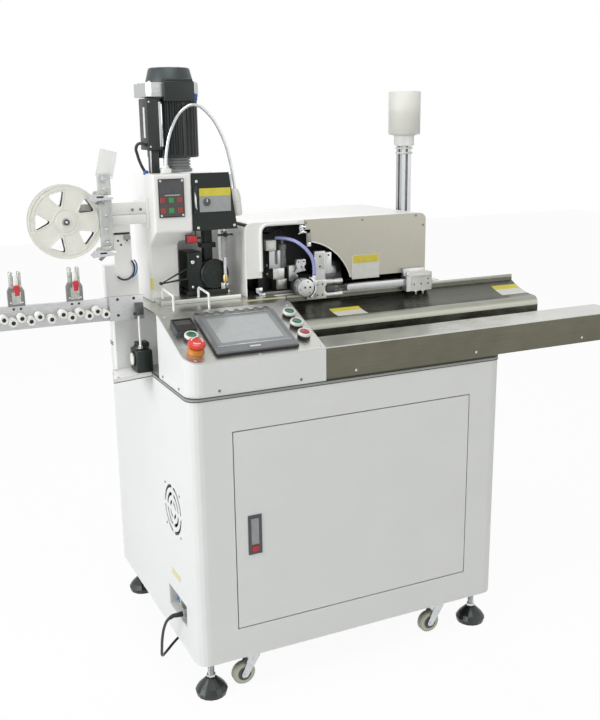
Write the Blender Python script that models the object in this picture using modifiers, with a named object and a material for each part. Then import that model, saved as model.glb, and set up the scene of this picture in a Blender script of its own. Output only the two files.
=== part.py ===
"""Automatic terminal crimping machine, built as separate pieces.

A sheet-metal cabinet on casters carries a steel deck. On it stand the sloped
console, the crimping press with its motor and reel, the cutting head in its
white housing, the wire trough, and the roller straightener on the left.

Metres, +Z up. The origin is on the floor under the middle of the cabinet, +X
runs to the right along the long front rail and +Y runs to the back.
"""
import math

import bmesh
import bpy
from mathutils import Matrix, Vector

# Clearances and sheet thicknesses
SEAT = 0.0003                 # gap left between two pieces that touch
SLIDE = 0.0005                # gap round a piece that slides or turns
SHEET = 0.002                 # folded steel sheet of the cabinet and door
TOP_SHEET = 0.003             # stainless sheet of the worktop
THREAD = 0.007                # radius of a levelling stem

# Cabinet
CABINET_WIDTH = 0.834
CABINET_DEPTH = 0.661
CABINET_HEIGHT = 0.644
CABINET_CORNER = 0.030        # radius of the front upright edges
REAR_CORNER = 0.008           # the back panel is folded tighter
GROUND_GAP = 0.096            # floor to the underside of the cabinet
DECK_PLATE = 0.008            # thickness of the steel deck
DECK_MARGIN = 0.0005          # how far the deck stands proud of the cabinet
SHELF_REACH = 0.100           # the deck's ear under the wire feed, to the left
SHELF_FRONT = 0.250
SHELF_BACK = 0.362
OVERALL_LENGTH = 1.616        # straightener's end to front rail's end

# Door and latch
DOOR_LEFT = 0.101
DOOR_RIGHT = CABINET_WIDTH - 0.099
DOOR_BOTTOM = 0.080
DOOR_TOP = CABINET_HEIGHT - 0.081
DOOR_FOLD = 0.018             # depth of the folded edge
DOOR_GAP = 0.0025
HINGE_INSET = 0.004           # hinge axis from the door's right edge
HINGE_DEPTH = 0.0045          # hinge axis behind the front face
HINGE_PIN = 0.002
LATCH_LEFT = 0.133
LATCH_WIDTH = 0.028
LATCH_BOTTOM = (DOOR_BOTTOM + DOOR_TOP) / 2 - 0.0575
LATCH_HEIGHT = 0.091
LATCH_DEPTH = 0.014
LATCH_PROUD = 0.0015

# Control gear on its plate inside: each module's left, right, bottom and top as
# shares of the plate, and its depth
GEAR_LEFT = 0.149
GEAR_BOTTOM = 0.122
GEAR_MODULES = {
    "power_supply": (0.08, 0.27, 0.60, 0.90, 0.080),
    "controller": (0.35, 0.61, 0.55, 0.92, 0.065),
    "feed_drive": (0.69, 0.77, 0.52, 0.92, 0.100),
    "press_drive": (0.82, 0.93, 0.52, 0.92, 0.110),
    "terminal_strip": (0.10, 0.87, 0.37, 0.43, 0.035),
    "transformer": (0.10, 0.33, 0.08, 0.29, 0.090),
}

# Cooling fan and mains inlet in the left wall
FAN_Y = 0.150
FAN_Z = CABINET_HEIGHT - 0.302
FAN_FRAME = 0.120
FAN_DEPTH = 0.025
FAN_BORE = 0.057
FAN_HUB = 0.019
INLET_FRONT = 0.080
INLET_BACK = 0.212
INLET_BOTTOM = 0.066
INLET_TOP = 0.122
INLET_DEPTH = 0.045
GLAND_Y = 0.104
GLAND_Z = 0.092
GLAND_RADIUS = 0.009
GLAND_TIP = -0.010
CORD_RADIUS = 0.0035
COIL_MIDDLE_RADIUS = 0.0385
COIL_X = 0.470
COIL_Y = CABINET_DEPTH + 0.109

# Casters and feet
CASTER_INSET_X = 0.151
CASTER_INSET_Y = 0.040
FRAME_PLATE = 0.003           # flat frame that the feet and casters bolt to
WHEEL_RADIUS = 0.029
WHEEL_WIDTH = 0.020
WHEEL_LIFT = 0.003            # the feet hold the wheels just off the floor
CASTER_TRAIL = 0.028
FOOT_INSET = 0.041
FOOT_RADIUS = 0.039
FOOT_HEIGHT = 0.044

# Console, worktop, front rail and trough
CONSOLE_WIDTH = 0.334
CONSOLE_FRONT = 0.079         # height of the console's front edge over the deck
TABLE_RISE = 0.154            # height of the worktop over the deck
FOLD_Y = 0.197                # where the slope meets the flat worktop
CONSOLE_CORNER = 0.035
WORKTOP_BACK = CABINET_DEPTH - 0.011
BAY_RIGHT = 0.090             # open bay under the worktop for the feed motor
BAY_FRONT = 0.207
RAIL_DEPTH = 0.105
RAIL_SHEET = 0.0025
RAIL_FOOT = 0.0055            # underside of the rail over the deck
TROUGH_LEFT = 0.366
TROUGH_RIGHT = CABINET_WIDTH + 0.241
TROUGH_BACK = 0.2914
TROUGH_BED = 0.038            # height of the bed under the trough over the deck
TROUGH_RADIUS = 0.064
TROUGH_SHEET = 0.002
LIP_Y = 0.181                 # top of the trough's front lip
LIP_DROP = 0.050              # below the worktop
APRON_Y = 0.163
APRON_DROP = 0.073

# Console instruments, along the slope (x, s)
SCREEN_LOW = (0.074, 0.015)
SCREEN_HIGH = (0.273, 0.173)
SCREEN_THICK = 0.010
METER_LOW = (0.012, 0.108)
METER_HIGH = (0.061, 0.156)
METER_THICK = 0.018
BUTTON_PLACES = {
    "start_button": (0.041, 0.092),
    "feed_button": (0.301, 0.145),
    "test_button": (0.300, 0.0985),
    "stop_button": (0.299, 0.052),
}
BUTTON_RING = 0.0148
BUTTON_CAP = 0.0113
BUTTON_BASE = 0.009
BUTTON_TRAVEL = 0.003
ESTOP_PLACE = (0.036, 0.044)
SHANK = 0.0110                # radius of a button's shank through the worktop
CARRIER_LOW = (0.022, 0.030)
CARRIER_HIGH = (0.314, 0.158)
CARRIER_DEPTH = -0.0130
ESTOP_HEAD = 0.020
ESTOP_TRAVEL = 0.005

# Press: everything is measured from the worktop's surface
PRESS_LEFT = 0.034
PRESS_SPLIT = 0.127           # between the keypad half and the ram half
PRESS_RIGHT = 0.232
PRESS_BACK = 0.470
COLUMN_FRONT = 0.345
HEAD_FRONT = 0.292
HEAD_BOTTOM = 0.174
HEAD_TOP = 0.310
THROAT_LEFT = 0.103           # right side of the column beside the applicator
THROAT_BACK = 0.400
BOLSTER = 0.010
HEAD_STEP = 0.0045            # the ram half of the head stands back by this much
RAM_X = 0.1815
RAM_Y = 0.3505
RAM_SIDE = 0.021
RAM_STROKE = 0.030
RAM_BOTTOM = 0.066
RAM_TOP = 0.222

# Motor on the press
MOTOR_X = 0.118
MOTOR_Y = 0.390
MOTOR_RADIUS = 0.062
MOTOR_BOTTOM = 0.345
MOTOR_TOP = 0.485
SHIELD_HALF = 0.064
SHIELD_TOP = 0.518
COWL_TOP = 0.553

# Reel, its arm and the tape guide
REEL_X = -0.1686
REEL_Z = 0.210
REEL_RADIUS = 0.0835
REEL_FRONT = 0.312
REEL_BACK = 0.332
REEL_BORE = 0.0085
SPINDLE = 0.008
ARM_FRONT = 0.338
ARM_BACK = 0.372

# Wire feed and straightener on the left
PANEL_FRONT = 0.334
PANEL_BACK = 0.359
BAR_FRONT = 0.300
BAR_BACK = 0.308
BAR_BOTTOM = -0.025
BAR_TOP = 0.030
BAR_END = -0.070
BAR_LENGTH = BAR_END - (CABINET_WIDTH - OVERALL_LENGTH) / 2
ROLLER_PITCH = BAR_LENGTH * 0.0611
ROLLER_RADIUS = ROLLER_PITCH * 0.485
ROLLER_FRONT = 0.272
ROLLER_STAGGER = 0.0085
FIRST_BANK = BAR_END - BAR_LENGTH * 0.866
MIDDLE_ROLLER = BAR_END - BAR_LENGTH * 0.4794
SECOND_BANK = BAR_END - BAR_LENGTH * 0.397
CLAMP_PLACES = {
    "clamp_lever_left": BAR_END - BAR_LENGTH * 0.698,
    "clamp_lever_right": BAR_END - BAR_LENGTH * 0.290,
}
CLAMP_PIVOT_Y = 0.300
CLAMP_PIVOT_Z = 0.090

# Cutting head in its housing
HOUSING_LEFT = 0.262
HOUSING_RIGHT = CABINET_WIDTH - 0.047
HOUSING_FRONT = 0.295
HOUSING_BACK = CABINET_DEPTH - 0.046
HOUSING_TOP = 0.185
HOUSING_WALL = 0.0025
PANEL_SHEET = 0.003
SWING_X = 0.4065
SWING_Z = 0.018
CUT_X = 0.417                 # middle of the panel's round cut-out
CUT_Z = -0.015
CUT_RADIUS = 0.145
SWING_SHAFT = 0.008
ARM_LAYER = (0.268, 0.284)
HOSE_RADIUS = 0.0045
RAIL_BAR_LEFT = 0.530
RAIL_BAR_RIGHT = HOUSING_RIGHT + 0.003
RAIL_BAR_FRONT = 0.262
RAIL_BAR_BACK = 0.280
RAIL_BAR_BOTTOM = -0.003
RAIL_BAR_TOP = 0.015

# Post and jar at the right of the housing
POST_SIDE = 0.030
POST_Y = 0.433
POST_HEIGHT = 0.357
JAR_RADIUS = 0.044
JAR_TOP = 0.502

DECK = CABINET_HEIGHT + SEAT + DECK_PLATE
TABLE = DECK + TABLE_RISE
SLOPE = math.atan2(TABLE_RISE - CONSOLE_FRONT, FOLD_Y)
SLOPE_LENGTH = math.hypot(TABLE_RISE - CONSOLE_FRONT, FOLD_Y)
LEFT_END = (CABINET_WIDTH - OVERALL_LENGTH) / 2
RIGHT_END = (CABINET_WIDTH + OVERALL_LENGTH) / 2
DOOR_AXIS = (DOOR_RIGHT - HINGE_INSET, HINGE_DEPTH)


def start_clean():
    for thing in list(bpy.data.objects):
        bpy.data.objects.remove(thing, do_unlink=True)


def make_collection(name):
    collection = bpy.data.collections.new(name)
    bpy.context.scene.collection.children.link(collection)
    return collection


def make_material(name, colour, roughness, metallic=0.0, alpha=1.0):
    material = bpy.data.materials.new(name)
    material.use_nodes = True
    shader = material.node_tree.nodes["Principled BSDF"]
    shader.inputs["Base Color"].default_value = (*colour, 1.0)
    shader.inputs["Roughness"].default_value = roughness
    shader.inputs["Metallic"].default_value = metallic
    shader.inputs["Alpha"].default_value = alpha
    material.diffuse_color = (*colour, alpha)
    return material


start_clean()
machine = make_collection("terminal_crimping_machine")
guides = make_collection("cutters")

white_paint = make_material("white powder coat", (0.80, 0.80, 0.78), 0.45)
dark_steel = make_material("dark steel", (0.12, 0.13, 0.13), 0.5, 0.6)
stainless = make_material("brushed stainless", (0.52, 0.51, 0.49), 0.32, 1.0)
aluminium = make_material("aluminium", (0.68, 0.69, 0.70), 0.35, 1.0)
zinc = make_material("zinc plated steel", (0.60, 0.62, 0.63), 0.35, 1.0)
black_oxide = make_material("black oxide", (0.02, 0.022, 0.022), 0.45, 0.4)
black_plastic = make_material("black plastic", (0.018, 0.018, 0.02), 0.45)
black_rubber = make_material("black rubber", (0.02, 0.02, 0.02), 0.85)
grey_plastic = make_material("grey plastic", (0.30, 0.31, 0.32), 0.5)
white_plastic = make_material("white plastic", (0.82, 0.82, 0.80), 0.4)
clear_plastic = make_material("clear plastic", (0.85, 0.85, 0.80), 0.2, 0.0, 0.6)
hose_plastic = make_material("hose", (0.60, 0.66, 0.90), 0.3, 0.0, 0.8)
red_plastic = make_material("red plastic", (0.65, 0.03, 0.02), 0.4)
green_plastic = make_material("green plastic", (0.02, 0.20, 0.08), 0.4)


def make_frame(name, place, parent=None, tilt=0.0):
    """An empty whose axes other pieces are measured in."""
    frame = bpy.data.objects.new(name, None)
    machine.objects.link(frame)
    frame.location = place
    frame.rotation_euler = (tilt, 0.0, 0.0)
    frame.parent = parent
    return frame


corner = make_frame(
    "cabinet_corner", (-CABINET_WIDTH / 2, -CABINET_DEPTH / 2, GROUND_GAP))
deck = make_frame("deck_level", (0, 0, DECK), corner)
table = make_frame("table_level", (0, 0, TABLE), corner)
console = make_frame("console_slope", (0, 0, DECK + CONSOLE_FRONT), corner, SLOPE)


def add(name, mesh, frame, material=None, place=(0, 0, 0), guide=False):
    """Put a mesh in the scene as one piece, or as a cutter when guide is set."""
    piece = bpy.data.objects.new(name, mesh)
    collection = guides if guide else machine
    collection.objects.link(piece)
    piece.location = place
    piece.parent = frame
    if material:
        mesh.materials.append(material)
    if guide:
        piece.hide_render = True
        piece.display_type = "WIRE"
    return piece


def finish_mesh(name, shape):
    mesh = bpy.data.meshes.new(name)
    shape.to_mesh(mesh)
    shape.free()
    return mesh


def shade(piece, degrees=35):
    piece.data.shade_smooth()
    piece.data.set_sharp_from_angle(angle=math.radians(degrees))
    return piece


def block(name, low, high, frame, material=None, bevel=0.0, guide=False):
    """A box between two corners, with optional rounded edges."""
    low = Vector(low)
    high = Vector(high)
    shape = bmesh.new()
    bmesh.ops.create_cube(shape, size=1.0)
    bmesh.ops.scale(shape, vec=high - low, verts=shape.verts)
    piece = add(name, finish_mesh(name, shape), frame, material, (low + high) / 2, guide)
    if bevel:
        round_edges(piece, bevel)
    return piece


TURNS = {
    "Z": Matrix.Identity(4),
    "X": Matrix.Rotation(math.radians(90), 4, "Y"),
    "Y": Matrix.Rotation(math.radians(-90), 4, "X"),
}


def rod(name, radius, start, end, axis, centre, frame, material=None,
        sides=20, end_radius=None, guide=False):
    """A cylinder or cone from start to end along an axis.

    centre gives its two other coordinates, in X, Y, Z order."""
    shape = bmesh.new()
    bmesh.ops.create_cone(
        shape, cap_ends=True, segments=sides, radius1=radius,
        radius2=radius if end_radius is None else end_radius, depth=end - start)
    bmesh.ops.transform(shape, matrix=TURNS[axis], verts=shape.verts)
    place = list(centre)
    place.insert("XYZ".index(axis), (start + end) / 2)
    piece = add(name, finish_mesh(name, shape), frame, material, place, guide)
    return shade(piece)


def round_edges(piece, width, segments=2, angle=40):
    bevel = piece.modifiers.new("rounded edges", "BEVEL")
    bevel.width = width
    bevel.segments = segments
    bevel.limit_method = "ANGLE"
    bevel.angle_limit = math.radians(angle)
    return piece


def as_mesh(piece):
    """Turn a curve, or a piece with modifiers, into a plain mesh piece."""
    bpy.context.view_layer.update()
    depsgraph = bpy.context.evaluated_depsgraph_get()
    mesh = bpy.data.meshes.new_from_object(piece.evaluated_get(depsgraph))
    shape = bmesh.new()
    shape.from_mesh(mesh)
    bmesh.ops.remove_doubles(shape, verts=shape.verts, dist=0.00001)
    shape.to_mesh(mesh)
    shape.free()
    name = piece.name
    result = bpy.data.objects.new(name, mesh)
    for collection in piece.users_collection:
        collection.objects.link(result)
    result.parent = piece.parent
    result.matrix_world = piece.matrix_world
    result.hide_render = piece.hide_render
    result.display_type = piece.display_type
    bpy.data.objects.remove(piece, do_unlink=True)
    result.name = name
    return result


SIDES_OF = {
    "XY": (0.0, 0.0, 0.0),
    "XZ": (math.radians(90), 0.0, 0.0),
    "YZ": (math.radians(90), 0.0, math.radians(90)),
}


def plate(name, outlines, start, end, plane, frame, material=None, guide=False):
    """A flat outline, with holes, made thick from start to end across its plane."""
    curve = bpy.data.curves.new(name, "CURVE")
    curve.dimensions = "2D"
    curve.fill_mode = "BOTH"
    curve.extrude = (end - start) / 2
    for outline in outlines:
        spline = curve.splines.new("POLY")
        spline.points.add(len(outline) - 1)
        for point, (u, v) in zip(spline.points, outline):
            point.co = (u, v, 0.0, 1.0)
        spline.use_cyclic_u = True
    middle = (start + end) / 2
    places = {"XY": (0, 0, middle), "XZ": (0, middle, 0), "YZ": (middle, 0, 0)}
    piece = add(name, curve, frame, material, places[plane], guide)
    piece.rotation_euler = SIDES_OF[plane]
    return as_mesh(piece)


def tube(name, points, radius, frame, material=None, resolution=2):
    """A round tube through points, with closed ends."""
    curve = bpy.data.curves.new(name, "CURVE")
    curve.dimensions = "3D"
    curve.bevel_depth = radius
    curve.bevel_resolution = resolution
    curve.use_fill_caps = True
    spline = curve.splines.new("POLY")
    spline.points.add(len(points) - 1)
    for point, place in zip(spline.points, points):
        point.co = (*place, 1.0)
    return add(name, curve, frame, material)


def turned(name, profile, centre, frame, material=None, steps=24, axis="Z",
           closed=False, guide=False):
    """A piece turned on a lathe from (radius, height) points.

    The points run down the outer side, from its top to its bottom."""
    mesh = bpy.data.meshes.new(name)
    points = [(radius, 0.0, height) for radius, height in profile]
    edges = [(i, i + 1) for i in range(len(points) - 1)]
    if closed:
        edges.append((len(points) - 1, 0))
    mesh.from_pydata(points, edges, [])
    piece = add(name, mesh, frame, material, centre, guide)
    screw = piece.modifiers.new("lathe", "SCREW")
    screw.steps = steps
    screw.render_steps = steps
    screw.use_merge_vertices = True
    screw.merge_threshold = 0.00001
    piece.rotation_euler = TURNS[axis].to_euler()
    return as_mesh(piece)


def carve(piece, *cutters):
    for cutter in cutters:
        cut = piece.modifiers.new("cut", "BOOLEAN")
        cut.operation = "DIFFERENCE"
        cut.object = cutter
        cutter.hide_render = True
        cutter.display_type = "WIRE"
    return piece


def weld(piece, *others):
    """Join other pieces to this one as a single solid."""
    for other in others:
        join = piece.modifiers.new("join", "BOOLEAN")
        join.operation = "UNION"
        join.object = other
        for collection in other.users_collection:
            collection.objects.unlink(other)
        guides.objects.link(other)
        other.hide_render = True
        other.display_type = "WIRE"
    return piece


def gather(name, pieces, frame, material):
    """One piece made of several separate solids, measured in one frame."""
    bpy.context.view_layer.update()
    depsgraph = bpy.context.evaluated_depsgraph_get()
    shape = bmesh.new()
    to_frame = frame.matrix_world.inverted()
    for piece in pieces:
        seen = piece.evaluated_get(depsgraph)
        part = bpy.data.meshes.new_from_object(seen)
        part.transform(to_frame @ piece.matrix_world)
        shape.from_mesh(part)
        bpy.data.meshes.remove(part)
    for piece in pieces:
        for modifier in piece.modifiers:
            if modifier.type == "BOOLEAN" and modifier.object:
                bpy.data.objects.remove(modifier.object, do_unlink=True)
        bpy.data.objects.remove(piece, do_unlink=True)
    return shade(add(name, finish_mesh(name, shape), frame, material))


def arc(centre, radius, start, end, count):
    """Points on a circle from one angle to another, in degrees."""
    angles = [math.radians(start + (end - start) * i / count) for i in range(count + 1)]
    return [(centre[0] + radius * math.cos(a), centre[1] + radius * math.sin(a))
            for a in angles]


def rounded(points, radii, count=4):
    """A closed outline whose corners are rounded, one radius for each corner."""
    result = []
    total = len(points)
    for i, radius in enumerate(radii):
        here = Vector(points[i])
        if not radius:
            result.append(tuple(here))
            continue
        before = (Vector(points[i - 1]) - here).normalized()
        after = (Vector(points[(i + 1) % total]) - here).normalized()
        half = before.angle(after) / 2
        reach = radius / math.tan(half)
        centre = here + (before + after).normalized() * radius / math.sin(half)
        first = here + before * reach - centre
        last = here + after * reach - centre
        turn = first.angle_signed(last)
        for step in range(count + 1):
            spoke = first.copy()
            spoke.rotate(Matrix.Rotation(-turn * step / count, 2))
            result.append(tuple(centre + spoke))
    return result


def rectangle(left, bottom, right, top):
    return [(left, bottom), (right, bottom), (right, top), (left, top)]


def inset(points, distance):
    """The same outline, moved inwards (the points run anticlockwise)."""
    result = []
    total = len(points)
    for i in range(total):
        here = Vector(points[i])
        before = (here - Vector(points[i - 1])).normalized()
        after = (Vector(points[(i + 1) % total]) - here).normalized()
        n1 = Vector((-before.y, before.x))
        n2 = Vector((-after.y, after.x))
        result.append(tuple(here + (n1 + n2) * distance / (1 + n1.dot(n2))))
    return result


def smooth_path(points, spacing):
    """Evenly read points of a smooth curve that passes through the given ones."""
    knots = [Vector(p) for p in points]
    ends = [2 * knots[0] - knots[1]] + knots + [2 * knots[-1] - knots[-2]]
    fine = []
    for a, b, c, d in zip(ends, ends[1:], ends[2:], ends[3:]):
        for step in range(24):
            t = step / 24
            fine.append(0.5 * ((2 * b) + (c - a) * t + (2 * a - 5 * b + 4 * c - d) * t ** 2
                               + (3 * b - a - 3 * c + d) * t ** 3))
    fine.append(knots[-1])
    lengths = [0.0]
    for a, b in zip(fine, fine[1:]):
        lengths.append(lengths[-1] + (b - a).length)
    count = max(2, round(lengths[-1] / spacing))
    result = []
    place = 0
    for step in range(count + 1):
        goal = lengths[-1] * step / count
        while place < len(fine) - 2 and lengths[place + 1] < goal:
            place += 1
        share = (goal - lengths[place]) / (lengths[place + 1] - lengths[place])
        result.append(fine[place].lerp(fine[place + 1], share))
    return result


def make_cabinet():
    """Folded steel cabinet, open at the top under the deck."""
    outline = rectangle(0, 0, CABINET_WIDTH, CABINET_DEPTH)
    radii = [CABINET_CORNER, CABINET_CORNER, REAR_CORNER, REAR_CORNER]
    outer = rounded(outline, radii, 5)
    inner = rounded(inset(outline, SHEET), [radius - SHEET for radius in radii], 5)
    shell = plate("cabinet_shell", [outer], 0, CABINET_HEIGHT, "XY", corner, white_paint)
    carve(
        shell,
        plate("cabinet_inside", [inner], SHEET, CABINET_HEIGHT + 0.01, "XY", corner,
              guide=True),
        block("door_opening", (DOOR_LEFT - DOOR_GAP, -0.01, DOOR_BOTTOM - DOOR_GAP),
              (DOOR_RIGHT + DOOR_GAP, SHEET + 0.001, DOOR_TOP + DOOR_GAP), corner,
              guide=True),
        block("inlet_opening", (-0.01, INLET_FRONT, INLET_BOTTOM),
              (SHEET + 0.001, INLET_BACK, INLET_TOP), corner, guide=True),
        make_grille_slots())
    for name, z, reach in (("lower", DOOR_BOTTOM, -1), ("upper", DOOR_TOP, 1)):
        shelf = z + reach * 0.006
        bracket = block(
            "hinge_bracket_" + name, (DOOR_RIGHT - 0.015, SHEET / 2, min(shelf, shelf + reach * SHEET)),
            (DOOR_RIGHT + 0.022, 0.022, max(shelf, shelf + reach * SHEET)), corner)
        pin_end = z - reach * (SHEET + 0.004)
        low, high = sorted((pin_end, shelf + reach * SHEET / 2))
        pin = rod("hinge_pin_" + name, HINGE_PIN, low, high, "Z", DOOR_AXIS, corner, sides=12)
        weld(shell, bracket, pin)
    return shell


def make_grille_slots():
    """Three broken rings in front of the fan."""
    slots = []
    for index, radius in enumerate((0.0195, 0.0385, 0.0575)):
        spoke = math.degrees(0.005 / radius)
        for quarter in range(4):
            start = quarter * 90 + spoke
            end = quarter * 90 + 90 - spoke
            outline = (arc((FAN_Y, FAN_Z), radius + 0.004, start, end, 4 + index)
                       + arc((FAN_Y, FAN_Z), radius - 0.004, end, start, 4 + index))
            slots.append(plate("grille_slot", [outline], -0.01, SHEET + 0.001, "YZ",
                               corner, guide=True))
    return as_guide(gather("grille_slots", slots, corner, None))


def as_guide(piece):
    machine.objects.unlink(piece)
    guides.objects.link(piece)
    piece.hide_render = True
    piece.display_type = "WIRE"
    return piece


def caster_places():
    return [(x, y) for y in (CASTER_INSET_Y, CABINET_DEPTH - CASTER_INSET_Y)
            for x in (CASTER_INSET_X, CABINET_WIDTH - CASTER_INSET_X)]


def make_deck():
    """Steel plate over the whole cabinet, with an ear under the wire feed."""
    m = DECK_MARGIN
    right = CABINET_WIDTH + m
    back = CABINET_DEPTH + m
    points = [(-m, -m), (right, -m), (right, back), (-m, back), (-m, SHELF_BACK),
              (-SHELF_REACH, SHELF_BACK), (-SHELF_REACH, SHELF_FRONT), (-m, SHELF_FRONT)]
    radii = [CABINET_CORNER, CABINET_CORNER, REAR_CORNER, REAR_CORNER, 0, 0.004, 0.004, 0]
    plate("deck_plate", [rounded(points, radii, 5)], -DECK_PLATE, 0, "XY", deck, dark_steel)


def make_door():
    """Pan-shaped door that turns on two pins at its right edge."""
    door = block("door", (DOOR_LEFT, 0, DOOR_BOTTOM), (DOOR_RIGHT, DOOR_FOLD, DOOR_TOP),
                 corner, white_paint)
    move_origin(door, (*DOOR_AXIS, DOOR_BOTTOM))
    carve(
        door,
        block("door_inside", (DOOR_LEFT + SHEET, SHEET, DOOR_BOTTOM + SHEET),
              (DOOR_RIGHT - SHEET, DOOR_FOLD + 0.01, DOOR_TOP - SHEET), corner, guide=True),
        block("latch_opening", (LATCH_LEFT, -0.01, LATCH_BOTTOM),
              (LATCH_LEFT + LATCH_WIDTH, 0.01, LATCH_BOTTOM + LATCH_HEIGHT), corner, guide=True),
        rod("hinge_holes", HINGE_PIN + SLIDE, DOOR_BOTTOM - 0.01, DOOR_TOP + 0.01, "Z",
            DOOR_AXIS, corner, sides=12, guide=True))


def move_origin(piece, place):
    """Put a piece's origin on its joint without moving its shape."""
    shift = Vector(place) - piece.location
    piece.data.transform(Matrix.Translation(-(piece.rotation_euler.to_matrix().inverted() @ shift)))
    piece.location = place
    return piece


def make_latch():
    """Flush latch: a frame in the door, a lever that lifts and a release button."""
    left = LATCH_LEFT
    right = LATCH_LEFT + LATCH_WIDTH
    bottom = LATCH_BOTTOM
    top = LATCH_BOTTOM + LATCH_HEIGHT
    rim = 0.003
    face = -LATCH_PROUD - SEAT
    body = block("latch_frame", (left + SEAT, face + 0.0005, bottom + SEAT),
                 (right - SEAT, LATCH_DEPTH, top - SEAT), corner, grey_plastic)
    flange = block("latch_flange", (left - rim, face, bottom - rim),
                   (right + rim, -SEAT, top + rim), corner)
    lever_low = bottom + 0.021
    lever_high = top - 0.004
    weld(body, flange)
    carve(
        body,
        block("lever_pocket", (left + 0.004, face - 0.01, lever_low),
              (right - 0.004, 0.008, lever_high), corner, guide=True),
        block("button_pocket", (left + 0.005, face - 0.01, bottom + 0.004),
              (right - 0.005, 0.010, bottom + 0.017), corner, guide=True))
    lever = block("latch_lever", (left + 0.004 + SLIDE, face, lever_low + SLIDE),
                  (right - 0.004 - SLIDE, 0.0035, lever_high - 0.0015), corner, black_plastic)
    move_origin(lever, ((left + right) / 2, face + 0.0015, lever_high - 0.003))
    block("latch_button", (left + 0.005 + SLIDE, face - 0.0015, bottom + 0.004 + SLIDE),
          (right - 0.005 - SLIDE, 0.006, bottom + 0.017 - SLIDE), corner, red_plastic, 0.0008)


def make_fan():
    """Cooling fan behind the grille: square frame and seven-blade rotor."""
    face = SHEET + SEAT
    half = FAN_FRAME / 2
    bore = arc((FAN_Y, FAN_Z), FAN_BORE, 0, 360 - 15, 23)
    square = rounded(rectangle(FAN_Y - half, FAN_Z - half, FAN_Y + half, FAN_Z + half),
                     [0.006] * 4, 2)
    frame = plate("fan_frame", [square, bore], face, face + FAN_DEPTH, "YZ", corner, black_plastic)
    back = face + FAN_DEPTH
    hub = rod("fan_bearing", FAN_HUB, back - 0.004, back, "X", (FAN_Y, FAN_Z), corner, sides=16)
    weld(frame, hub)
    for turn in (45, 135):
        spider = block("fan_spider", (-0.0015, -FAN_BORE - 0.002, -0.003),
                       (0.0015, FAN_BORE + 0.002, 0.003), corner)
        spider.location = (back - 0.0016, FAN_Y, FAN_Z)
        spider.rotation_euler = (math.radians(turn), 0, 0)
        weld(frame, spider)
    rotor = rod("fan_rotor", FAN_HUB - 0.001, face + 0.003, back - 0.004 - SEAT, "X",
                (FAN_Y, FAN_Z), corner, black_plastic, sides=16)
    middle = (face + back - 0.004) / 2
    for blade_number in range(7):
        blade = block("fan_blade", (-0.008, -0.0008, 0), (0.008, 0.0008, FAN_BORE - 0.003), corner)
        move_origin(blade, (0, 0, 0))
        blade.location = (middle, FAN_Y, FAN_Z)
        turn = Matrix.Rotation(math.radians(360 / 7 * blade_number), 4, "X")
        twist = Matrix.Rotation(math.radians(50), 4, "Z")
        blade.rotation_euler = (turn @ twist).to_euler()
        weld(rotor, blade)


def make_control_gear():
    """Mounting plate inside the cabinet with the electrical modules on it."""
    back = CABINET_DEPTH - SHEET - SEAT
    face = CABINET_DEPTH - 0.045
    left = GEAR_LEFT
    right = CABINET_WIDTH - GEAR_LEFT
    bottom = GEAR_BOTTOM
    top = CABINET_HEIGHT - GEAR_BOTTOM
    gear = block("control_gear", (left, face - 0.003, bottom), (right, face, top), corner, zinc)
    for x in (left + 0.030, right - 0.030):
        for z in (bottom + 0.030, top - 0.030):
            weld(gear, rod("stand_off", 0.006, face - 0.001, back, "Y", (x, z), corner, sides=8))
    wide = right - left
    high = top - bottom
    for name, (x0, x1, z0, z1, depth) in GEAR_MODULES.items():
        weld(gear, block(name, (left + x0 * wide, face - 0.002 - depth, bottom + z0 * high),
                         (left + x1 * wide, face - 0.002, bottom + z1 * high), corner))


def make_inlet():
    """Recessed pocket with the gland that the mains lead comes out of."""
    wall = 0.0015
    flange = 0.008
    inlet = block("power_inlet", (SHEET + SEAT, INLET_FRONT - flange, INLET_BOTTOM - flange),
                  (SHEET + SEAT + wall, INLET_BACK + flange, INLET_TOP + flange), corner,
                  grey_plastic)
    weld(inlet, block("inlet_pocket", (SHEET + SEAT + 0.0005, INLET_FRONT, INLET_BOTTOM),
                      (INLET_DEPTH, INLET_BACK, INLET_TOP), corner))
    carve(inlet, block("inlet_hollow", (-0.01, INLET_FRONT + wall, INLET_BOTTOM + wall),
                       (INLET_DEPTH - wall, INLET_BACK - wall, INLET_TOP - wall), corner,
                       guide=True))
    weld(inlet,
         rod("gland_body", GLAND_RADIUS, 0.006, INLET_DEPTH - wall / 2, "X",
             (GLAND_Y, GLAND_Z), corner, sides=16),
         rod("gland_nose", CORD_RADIUS + 0.0015, GLAND_TIP, 0.0065, "X",
             (GLAND_Y, GLAND_Z), corner, sides=16, end_radius=GLAND_RADIUS - 0.001))


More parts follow.
